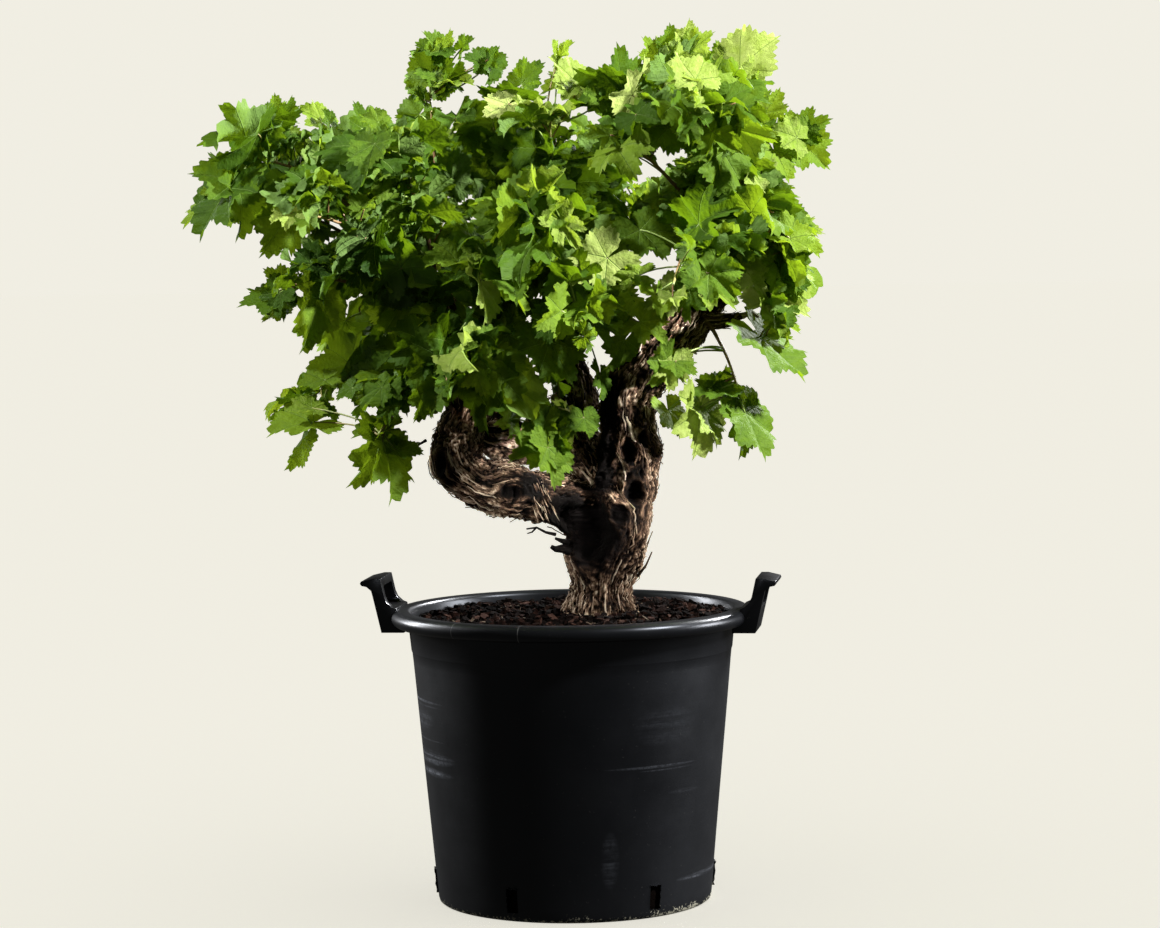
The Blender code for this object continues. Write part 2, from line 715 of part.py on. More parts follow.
def leaf_pose(points, station, number, attempt):
    """Where a leaf stands for one attempt: petiole start, blade base, axis, normal and length."""
    here = spline_point(points, station).xyz
    ahead = (here - spline_point(points, station - 0.08).xyz).normalized()
    turn = LEAF_TURN * (number + attempt * 0.37) + attempt * 0.9
    side = ahead.orthogonal().normalized()
    side = Matrix.Rotation(turn, 3, ahead) @ side
    outward = (here - CANOPY_CENTRE).normalized()
    up = Vector((0.0, 0.0, 1.0))
    stalk = (side * 0.9 + ahead * 0.5 + up * 0.45 + outward * 0.25).normalized()
    facing = Vector((here.x - CANOPY_CENTRE.x, 3.0 * here.y, 0.6 * (here.z - CANOPY_CENTRE.z))).normalized()
    last = station > 0.99
    if last:
        stalk = (ahead + side * (0.15 + 0.05 * attempt)).normalized()
    reach = PETIOLE_LENGTH * (END_PETIOLE_SHARE if last else 1.0) * (1.0 - 0.03 * (attempt % 8))
    base = here + stalk * reach
    axis = stalk * 0.40 + outward * 0.30 - up * 0.65 + side * 0.15
    if last:
        axis = ahead * 0.75 + side * 0.25 - up * 0.30
    axis.normalize()
    normal = (up * 0.45 + facing * 0.95 - side * 0.20).normalized()
    smaller = LEAF_SIZE_STEP * ((number * 7 + attempt * 3) % 4) / 3 + (END_LEAF_CUT if last else 0.0)
    return here - stalk * PETIOLE_ROOT, base, axis, normal, LEAF_LENGTH * (1.0 - smaller)


def make_canes(wood_parts, taken, parts, cutters):
    """The canes with their routes and search trees, each turned round its arm until it clears the others."""
    routes = {row[0]: row[1] for row in LIMBS}
    canes = []
    for name, carrier, share, tip, bow in SHOOTS:
        for attempt in range(CANE_TRIES):
            points = cane_points(cane_start(routes[carrier], share, tip, attempt), tip, bow)
            cane = make_cane(name, points, parts)
            combine(cane, inflated(wood_parts[carrier], CUT_GAP, cutters), "DIFFERENCE")
            keep_largest(cane)
            tree = object_tree(cane)
            if not any(tree.overlap(other) for other in taken + [row[2] for row in canes]):
                break
            bpy.data.objects.remove(cane)
        canes.append((cane, points, tree))
    return canes


def place_leaf(points, station, number, own_tree, taken):
    """The first try of a leaf that clears all that stands already, with its search tree."""
    for attempt in range(LEAF_TRIES):
        start, base, axis, normal, length = leaf_pose(points, station, number, attempt)
        if (base - start).normalized().dot(axis) < LEAST_FLOW:
            continue
        body = leaf_body(base, axis, normal, length * CLEARANCE_SCALE, start.lerp(base, CLEARANCE_START))
        tree = BVHTree.FromBMesh(body)
        body.free()
        if any(tree.overlap(other) for other in taken):
            continue
        body = leaf_body(base, axis, normal, length, start)
        if not crosses_itself(body) and BVHTree.FromBMesh(body).overlap(own_tree):
            return body, tree
        body.free()
    return None, None


def make_shoots(wood_parts, parts, cutters):
    """Canes first, then leaves one by one, from the tips of the canes inwards."""
    taken = [object_tree(part) for part in wood_parts.values()]
    canes = make_canes(wood_parts, taken, parts, cutters)
    taken += [tree for cane, points, tree in canes]
    leaf_sets = [[] for row in canes]
    for station in reversed(LEAF_STATIONS):
        for index, (cane, points, own_tree) in enumerate(canes):
            number = LEAF_STATIONS.index(station) + index
            body, tree = place_leaf(points, station, number, own_tree, taken)
            if body:
                taken.append(tree)
                leaf_sets[index].append(body)
    for (cane, points, tree), bodies in zip(canes, leaf_sets):
        merge_leaves(cane, bodies, cutters)


def merge_leaves(cane, bodies, cutters):
    joined = bmesh.new()
    for body in bodies:
        mesh = bpy.data.meshes.new("leaf")
        body.to_mesh(mesh)
        joined.from_mesh(mesh)
        bpy.data.meshes.remove(mesh)
        body.free()
    mesh = bpy.data.meshes.new(cane.name + "_leaves")
    joined.to_mesh(mesh)
    joined.free()
    leaves = add_object(cane.name + "_leaves", mesh, cutters)
    combine(cane, leaves, "UNION")
    simplify(cane)


def simplify(target):
    """Joins the slivers that a union leaves in one plane, then cuts the faces into triangles again."""
    work = bmesh.new()
    work.from_mesh(target.data)
    bmesh.ops.dissolve_limit(work, angle_limit=FLAT_ANGLE, verts=work.verts, edges=work.edges)
    bmesh.ops.triangulate(work, faces=work.faces)
    work.to_mesh(target.data)
    work.free()


def main():
    clear_scene()
    parts = new_collection("grapevine")
    cutters = new_collection("cutters")
    pot = make_pot(parts, cutters)
    pot.data.materials.append(principled("pot_plastic", "pot_plastic"))
    for name, turn in (("handle_right", RIGHT_HANDLE_TURN), ("handle_left", LEFT_HANDLE_TURN)):
        handle = make_handle(name, turn, parts, cutters)
        handle.data.materials.append(principled(name + "_plastic", "handle_plastic"))
    wood_parts = make_wood(parts, cutters)
    soil = make_soil(wood_parts["trunk"], parts, cutters)
    soil.data.materials.append(principled("soil", "soil"))
    make_shoots(wood_parts, parts, cutters)
    for name, part in wood_parts.items():
        part.data.materials.clear()
        part.data.materials.append(principled(name + "_bark", "bark"))
    for name, *rest in SHOOTS:
        shoot = bpy.data.objects[name]
        shoot.data.materials.clear()
        shoot.data.materials.append(principled(name + "_leaf", "leaf"))


main()
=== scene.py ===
import math

import bmesh
import bpy
import numpy as np
from mathutils import Matrix, Vector, noise


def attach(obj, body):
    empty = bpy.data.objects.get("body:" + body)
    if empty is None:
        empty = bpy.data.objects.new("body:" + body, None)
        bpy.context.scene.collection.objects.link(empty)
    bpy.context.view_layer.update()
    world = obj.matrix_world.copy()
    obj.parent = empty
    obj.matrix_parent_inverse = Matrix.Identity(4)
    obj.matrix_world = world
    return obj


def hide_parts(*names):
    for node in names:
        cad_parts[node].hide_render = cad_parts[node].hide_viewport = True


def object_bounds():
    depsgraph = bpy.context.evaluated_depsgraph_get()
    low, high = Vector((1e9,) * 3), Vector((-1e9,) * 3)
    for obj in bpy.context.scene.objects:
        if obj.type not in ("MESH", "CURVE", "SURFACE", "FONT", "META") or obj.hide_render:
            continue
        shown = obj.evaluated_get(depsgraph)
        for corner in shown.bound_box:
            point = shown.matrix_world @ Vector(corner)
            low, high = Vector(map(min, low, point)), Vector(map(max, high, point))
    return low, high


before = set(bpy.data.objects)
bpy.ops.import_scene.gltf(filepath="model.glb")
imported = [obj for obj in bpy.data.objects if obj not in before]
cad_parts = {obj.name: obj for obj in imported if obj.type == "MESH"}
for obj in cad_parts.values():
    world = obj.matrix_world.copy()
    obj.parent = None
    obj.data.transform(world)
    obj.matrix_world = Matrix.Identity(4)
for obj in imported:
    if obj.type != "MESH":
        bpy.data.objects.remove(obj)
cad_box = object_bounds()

# Container, in metres
POT_HEIGHT = 0.405
RIM_RADIUS = 0.250
BEAD_WIDTH = 0.027
BEAD_HEIGHT = 0.022
BASE_RADIUS = 0.190
NECK_RADIUS = 0.2250
WALL = 0.0030
FLOOR_THICKNESS = 0.0040
BAND_HEIGHT = 0.034
BAND_PROUD = 0.0012
SLOT_COUNT = 6
SLOT_WIDTH = 0.015
SLOT_HEIGHT = 0.033
SLOT_BOTTOM = 0.012
SLOT_TURN = math.radians(-26)
LEFT_HANDLE_TURN = math.radians(173)
RIGHT_HANDLE_TURN = math.radians(-8)
HANDLE_WIDTH = 0.094
LEG_WIDTH = 0.014
GAP_BOTTOM = 0.004
GAP_TOP = 0.033
SOIL_TOP = 0.391
SOIL_SLOPE = 0.012

# Scuffs on the container: turn from the front and height, half size in degrees and metres, and strength
SCUFFS = [
    (-74, 0.287, 20, 0.0022, 0.75),
    (-74, 0.281, 18, 0.0014, 0.65),
    (-76, 0.262, 14, 0.0180, 0.35),
    (-72, 0.234, 18, 0.0013, 0.65),
    (-70, 0.210, 21, 0.0110, 0.85),
    (-68, 0.189, 17, 0.0065, 0.80),
    (32, 0.208, 22, 0.0022, 0.30),
    (38, 0.203, 14, 0.0012, 0.22),
    (67, 0.047, 23, 0.0045, 0.50),
    (14, 0.084, 4, 0.0420, 0.16),
    (36, 0.262, 15, 0.0300, 0.08),
    (47, 0.170, 9, 0.0040, 0.16),
    (110, 0.240, 18, 0.0030, 0.40),
    (150, 0.120, 25, 0.0060, 0.35),
    (-130, 0.190, 20, 0.0025, 0.45),
]
# Hairline cracks over the rim bead, in degrees from the front
CRACKS = (-16.5, -40.0)
CRACK_HALF_WIDTH = 0.13
CRUST_HEIGHT = 0.016

# Camera, at the photo's viewing angle
IMAGE_WIDTH = 1160
IMAGE_HEIGHT = 928
FOCAL_PIXELS = 3340.0
CAMERA_PLACE = Vector((0.0147, -4.6, 0.91))
CAMERA_PITCH = math.radians(3.82)
CAMERA_ROLL = math.radians(-0.8)
SENSOR = 36.0

# Light
BACKDROP = (0.877, 0.855, 0.768)
FLOOR_TONE = 0.92
FLOOR_GLOW = 0.66
SOFT_SUN = 1.010
SURROUND_LIGHT = 0.06
# Studio lamps: name, place, target, size in metres, power in watts and what they light
LIGHTS = [
    ("key", (3.0, -1.5, 3.1), (0.0, 0.0, 0.8), 0.30, 900.0, 180, "leaves"),
    ("key_wood", (3.0, -1.5, 3.1), (0.10, 0.0, 0.94), 0.30, 8.3, 14, "bark"),
    ("key_low", (3.0, -1.3, 3.1), (0.0, 0.0, 0.4), 0.45, 170.0, 180, "pot ear soil"),
    ("back", (2.0, 2.4, 2.2), (0.1, 0.0, 0.9), 0.5, 170.0, 180, "leaves bark pot ear soil"),
    ("side", (-2.6, 1.5, 1.9), (0.0, 0.0, 0.7), 0.8, 60.0, 180, "leaves bark pot ear soil"),
    ("front", (-0.4, -4.0, 2.4), (0.0, 0.0, 0.9), 0.8, 8.0, 180, "leaves bark ear"),
    ("crown", (-2.4, -1.5, 3.3), (-0.3, 0.0, 0.95), 0.30, 290.0, 180, "leaves"),
    ("kicker", (2.7, -1.7, 1.1), (0.12, 0.0, 0.80), 0.4, 4.6, 10, "bark"),
    ("low_left", (-2.4, -2.2, 1.5), (-0.16, 0.0, 0.65), 0.5, 0.85, 9, "bark"),
    ("edge_left", (-2.3, 1.3, 0.9), (0.0, 0.0, 0.2), 0.5, 38.0, 180, "pot ear"),
    ("edge_right", (2.8, 0.3, 0.9), (0.0, 0.0, 0.2), 1.0, 60.0, 180, "pot ear"),
]

# Old wood: centre line points (x, y, z) with the radius there
TRUNK = [
    ((0.036, 0.000, 0.300), 0.040),
    ((0.036, 0.000, 0.340), 0.049),
    ((0.037, 0.000, 0.385), 0.051),
    ((0.040, 0.000, 0.425), 0.047),
    ((0.046, 0.000, 0.470), 0.048),
    ((0.053, 0.000, 0.505), 0.055),
    ((0.054, 0.002, 0.540), 0.059),
    ((0.048, 0.004, 0.572), 0.046),
]
LEFT_ARM = [
    ((0.022, -0.004, 0.536), 0.026),
    ((-0.025, -0.014, 0.553), 0.032),
    ((-0.075, -0.022, 0.567), 0.036),
    ((-0.124, -0.026, 0.581), 0.035),
    ((-0.153, -0.022, 0.609), 0.035),
    ((-0.150, -0.014, 0.644), 0.034),
    ((-0.138, -0.006, 0.690), 0.032),
    ((-0.145, 0.004, 0.745), 0.029),
    ((-0.163, 0.010, 0.800), 0.024),
    ((-0.178, 0.012, 0.842), 0.015),
]
MIDDLE_ARM = [
    ((0.040, 0.026, 0.545), 0.026),
    ((0.022, 0.044, 0.596), 0.033),
    ((0.008, 0.058, 0.650), 0.031),
    ((0.008, 0.068, 0.706), 0.028),
    ((-0.008, 0.072, 0.762), 0.024),
    ((-0.020, 0.070, 0.815), 0.016),
]
INNER_ARM = [
    ((0.014, 0.040, 0.612), 0.016),
    ((-0.028, 0.032, 0.626), 0.022),
    ((-0.072, 0.028, 0.630), 0.026),
    ((-0.098, 0.026, 0.658), 0.024),
    ((-0.086, 0.026, 0.704), 0.019),
    ((-0.094, 0.030, 0.745), 0.014),
]
RIGHT_ARM = [
    ((0.066, -0.004, 0.535), 0.030),
    ((0.079, -0.010, 0.580), 0.038),
    ((0.080, -0.012, 0.640), 0.039),
    ((0.086, -0.010, 0.700), 0.041),
    ((0.118, -0.004, 0.750), 0.038),
    ((0.164, 0.004, 0.800), 0.033),
    ((0.196, 0.008, 0.850), 0.029),
    ((0.207, 0.010, 0.905), 0.023),
    ((0.206, 0.010, 0.945), 0.014),
]
SPUR = [
    ((0.184, 0.000, 0.802), 0.018),
    ((0.212, -0.012, 0.799), 0.011),
    ((0.242, -0.018, 0.805), 0.006),
]
# A burl where the inner arm has grown against the left arm
BURL = [
    ((-0.046, 0.018, 0.628), 0.024),
    ((-0.084, 0.012, 0.634), 0.029),
    ((-0.118, 0.006, 0.644), 0.024),
    ((-0.136, 0.000, 0.654), 0.016),
]
ROUTES = {"left_arm": LEFT_ARM, "middle_arm": MIDDLE_ARM, "inner_arm": INNER_ARM, "right_arm": RIGHT_ARM}
SIDE_GROWTHS = {"right_arm": SPUR, "inner_arm": BURL}

# Knots on the old wood: place and size of the swelling
KNOTS = [
    ((0.088, -0.045, 0.500), 0.026),
    ((0.015, -0.050, 0.520), 0.024),
    ((0.118, -0.020, 0.622), 0.020),
    ((0.045, -0.040, 0.640), 0.016),
    ((-0.168, -0.050, 0.590), 0.018),
    ((-0.060, -0.040, 0.580), 0.016),
    ((0.120, -0.035, 0.720), 0.020),
    ((0.205, -0.015, 0.850), 0.016),
]

# Hollow knots on the old wood, sunk and darkened inside as painted shade: place, radius and depth
HOLLOWS = [
    ((0.081, -0.052, 0.624), 0.0100, 0.014),
    ((0.104, -0.044, 0.640), 0.0085, 0.012),
    ((0.088, -0.050, 0.566), 0.0110, 0.015),
    ((0.066, -0.058, 0.536), 0.0100, 0.010),
    ((0.028, -0.056, 0.518), 0.0310, 0.026),
    ((-0.176, -0.046, 0.610), 0.0090, 0.008),
    ((-0.080, -0.056, 0.570), 0.0100, 0.009),
    ((0.110, 0.030, 0.690), 0.0100, 0.010),
    ((0.050, 0.058, 0.500), 0.0130, 0.012),
    ((-0.150, 0.020, 0.660), 0.0090, 0.008),
]
# Places where the old wood is darkened as painted shade, as if in shadow: place and radius
PAINTED_WOOD_SHADE = [
    ((0.026, -0.055, 0.505), 0.044),
    ((-0.004, -0.045, 0.535), 0.036),
    ((0.034, -0.040, 0.590), 0.030),
    ((0.040, -0.036, 0.630), 0.026),
    ((0.044, -0.036, 0.668), 0.026),
    ((0.050, -0.030, 0.705), 0.024),
    ((-0.050, -0.050, 0.575), 0.020),
]
# Limbs: name, route, seed of the relief, grid step and number of loose strips
LIMBS = [
    ("trunk", TRUNK, 3.1, 0.0016, 420),
    ("left_arm", LEFT_ARM, 7.7, 0.0016, 620),
    ("middle_arm", MIDDLE_ARM, 1.3, 0.0018, 380),
    ("inner_arm", INNER_ARM, 5.9, 0.0018, 160),
    ("right_arm", RIGHT_ARM, 9.2, 0.0016, 620),
]
# Splinters that fray from a limb: limb, middle, direction, spread sideways and number
SPLINTERS = [
    ("middle_arm", (0.012, 0.020, 0.628), (0.55, -0.10, -0.83), 0.011, 110),
    ("left_arm", (-0.040, -0.052, 0.556), (0.30, -0.20, -0.90), 0.014, 60),
]
# Dead twigs and stubs: limb, points, radius at the foot and tone of the bark
TWIGS = [
    ("left_arm", [(-0.020, -0.030, 0.508), (-0.034, -0.034, 0.512), (-0.046, -0.036, 0.519), (-0.060, -0.034, 0.517)],
     0.0026, 0.15),
    ("left_arm", [(-0.046, -0.036, 0.519), (-0.052, -0.040, 0.513), (-0.059, -0.040, 0.511)], 0.0018, 0.15),
    ("trunk", [(0.000, -0.024, 0.484), (-0.010, -0.030, 0.489), (-0.021, -0.032, 0.488), (-0.027, -0.032, 0.492)],
     0.0075, 0.2),
    ("trunk", [(-0.002, -0.028, 0.496), (-0.012, -0.032, 0.500), (-0.021, -0.030, 0.503)], 0.0045, 0.15),
    ("trunk", [(0.092, -0.018, 0.448), (0.104, -0.022, 0.464), (0.112, -0.024, 0.482)], 0.0022, 0.55),
    ("right_arm", [(0.240, -0.018, 0.804), (0.252, -0.020, 0.809), (0.262, -0.024, 0.802)], 0.0045, 0.95),
    ("left_arm", [(-0.196, -0.020, 0.640), (-0.206, -0.024, 0.634), (-0.212, -0.024, 0.622)], 0.0020, 0.3),
]

# Leafy shoots: name, old arm, share of the arm where it leaves, cane tip, rise above a straight line
SHOOTS = [
    ("left_shoot_1", "left_arm", 0.93, (-0.420, -0.050, 1.030), 0.045),
    ("left_shoot_2", "left_arm", 0.88, (-0.438, 0.070, 0.958), 0.050),
    ("left_shoot_3", "left_arm", 0.80, (-0.385, -0.120, 0.850), 0.050),
    ("left_shoot_4", "left_arm", 0.96, (-0.330, 0.130, 1.030), 0.030),
    ("left_shoot_5", "left_arm", 0.99, (-0.185, 0.030, 1.110), 0.000),
    ("left_shoot_6", "left_arm", 0.70, (-0.370, 0.030, 0.690), 0.040),
    ("left_shoot_7", "left_arm", 0.62, (-0.255, -0.140, 0.655), 0.035),
    ("left_shoot_8", "left_arm", 0.84, (-0.340, -0.220, 0.950), 0.040),
    ("left_shoot_9", "left_arm", 0.97, (-0.230, -0.160, 1.040), 0.030),
    ("left_shoot_10", "left_arm", 0.76, (-0.320, 0.220, 0.800), 0.045),
    ("left_shoot_11", "left_arm", 0.72, (-0.160, -0.200, 0.740), 0.040),
    ("inner_shoot_1", "inner_arm", 0.96, (-0.130, 0.270, 0.900), 0.030),
    ("inner_shoot_2", "inner_arm", 0.90, (-0.110, -0.180, 0.860), 0.040),
    ("middle_shoot_1", "middle_arm", 0.97, (-0.100, 0.100, 1.065), 0.010),
    ("middle_shoot_2", "middle_arm", 0.99, (-0.020, -0.020, 1.070), 0.010),
    ("middle_shoot_3", "middle_arm", 0.90, (-0.130, 0.240, 1.010), 0.030),
    ("middle_shoot_4", "middle_arm", 0.85, (-0.040, -0.220, 0.930), 0.040),
    ("middle_shoot_5", "middle_arm", 0.94, (0.045, 0.200, 1.050), 0.020),
    ("middle_shoot_6", "middle_arm", 0.70, (0.020, -0.220, 0.790), 0.045),
    ("middle_shoot_7", "middle_arm", 0.80, (0.010, 0.290, 0.930), 0.040),
    ("middle_shoot_8", "middle_arm", 0.45, (-0.060, -0.120, 0.665), 0.030),
    ("right_shoot_1", "right_arm", 0.99, (0.135, 0.030, 1.115), 0.010),
    ("right_shoot_2", "right_arm", 0.97, (0.240, -0.040, 1.095), 0.010),
    ("right_shoot_3", "right_arm", 0.94, (0.250, 0.030, 1.045), 0.025),
    ("right_shoot_4", "right_arm", 0.90, (0.285, -0.090, 0.925), 0.035),
    ("right_shoot_5", "right_arm", 0.80, (0.290, -0.050, 0.800), 0.040),
    ("right_shoot_6", "right_arm", 0.62, (0.235, -0.060, 0.690), 0.035),
    ("right_shoot_7", "right_arm", 0.95, (0.180, -0.200, 1.080), 0.020),
    ("right_shoot_8", "right_arm", 0.88, (0.080, -0.130, 1.040), 0.020),
    ("right_shoot_9", "right_arm", 0.92, (0.210, 0.240, 1.010), 0.030),
    ("right_shoot_10", "right_arm", 0.78, (0.275, 0.190, 0.860), 0.040),
    ("right_shoot_11", "right_arm", 0.84, (0.090, 0.230, 0.930), 0.030),
    ("right_shoot_12", "right_arm", 0.72, (0.140, -0.210, 0.850), 0.045),
]
CANE_RADIUS = 0.0036
CANE_TIP_RADIUS = 0.0018
CANOPY_CENTRE = Vector((-0.06, 0.0, 0.80))
KEY_WAY = Vector((0.66, -0.33, 0.68))

# Leaves
LEAF_SPACING = 0.0108
LEAF_LENGTH = 0.056
LEAF_WIDTH = 0.82
PETIOLE_LENGTH = 0.048
PETIOLE_RADIUS = 0.0011
LEAF_TRIES = 7
VEIN_ANGLES = (0.0, 49.0, -49.0, 100.0, -100.0)
LEAF_LOBES = (0.0, 49.0, -49.0, 100.0, -100.0)
# Outline of a leaf: angle from the tip in degrees, reach, and how much of it deep lobing takes away
OUTLINE = [
    (0, 1.00, 0.00),
    (7, 0.94, 0.00),
    (16, 0.88, 0.03),
    (23, 0.83, 0.14),
    (28, 0.81, 0.30),
    (34, 0.83, 0.16),
    (43, 0.88, 0.03),
    (49, 0.92, 0.00),
    (56, 0.89, 0.01),
    (70, 0.83, 0.08),
    (79, 0.80, 0.24),
    (87, 0.81, 0.09),
    (100, 0.85, 0.00),
    (110, 0.82, 0.00),
    (124, 0.76, 0.00),
    (140, 0.67, 0.00),
    (154, 0.54, 0.00),
    (165, 0.34, 0.00),
]
# The canopy's edge as the camera sees it, in pixels of the 1160 x 928 frame
CANOPY_EDGE = [
    (408, 60), (425, 36), (455, 30), (475, 52), (505, 58), (530, 56), (560, 56), (585, 50), (600, 46), (640, 40),
    (680, 22), (690, 26), (720, 36), (735, 34), (779, 34), (782, 62), (770, 84), (784, 118), (824, 126), (824, 160),
    (795, 186), (818, 215), (822, 250), (814, 300), (800, 350), (765, 345), (755, 300), (720, 300), (690, 335),
    (668, 385), (640, 372), (600, 390), (585, 430), (565, 465), (520, 455), (490, 420), (440, 402), (425, 425),
    (385, 435), (350, 425), (350, 395), (320, 425), (280, 444), (268, 420), (280, 390), (325, 345), (300, 340),
    (292, 320), (262, 312), (255, 285), (285, 262), (262, 245), (225, 235), (197, 228), (190, 176), (208, 140),
    (235, 118), (270, 100), (305, 98), (330, 108), (400, 110), (400, 80),
]
# Gaps where the background shows through the canopy: middle, half width and half height in pixels
GAPS = [
    (437, 106, 14, 10), (470, 107, 13, 7), (550, 99, 17, 8), (507, 75, 12, 6), (596, 87, 13, 5), (762, 146, 12, 9),
    (718, 137, 5, 12), (662, 174, 12, 10), (669, 150, 7, 6), (688, 155, 5, 9), (336, 223, 12, 14), (353, 310, 12, 10),
    (359, 295, 6, 8), (300, 290, 8, 8), (294, 313, 9, 11), (275, 256, 12, 12), (264, 175, 7, 6), (252, 155, 12, 16),
    (611, 346, 9, 18), (571, 372, 8, 12), (534, 397, 12, 14), (663, 270, 11, 9), (768, 266, 7, 9), (764, 286, 6, 8),
    (757, 313, 9, 12), (740, 332, 14, 18), (716, 346, 11, 11), (738, 354, 12, 10), (748, 392, 20, 26), (717, 445, 8, 16),
    (348, 412, 16, 14), (330, 452, 22, 16), (416, 433, 16, 16), (414, 468, 18, 12), (308, 362, 18, 16), (797, 170, 8, 12),
    (790, 84, 10, 22), (492, 290, 4, 12), (440, 434, 6, 12),
]
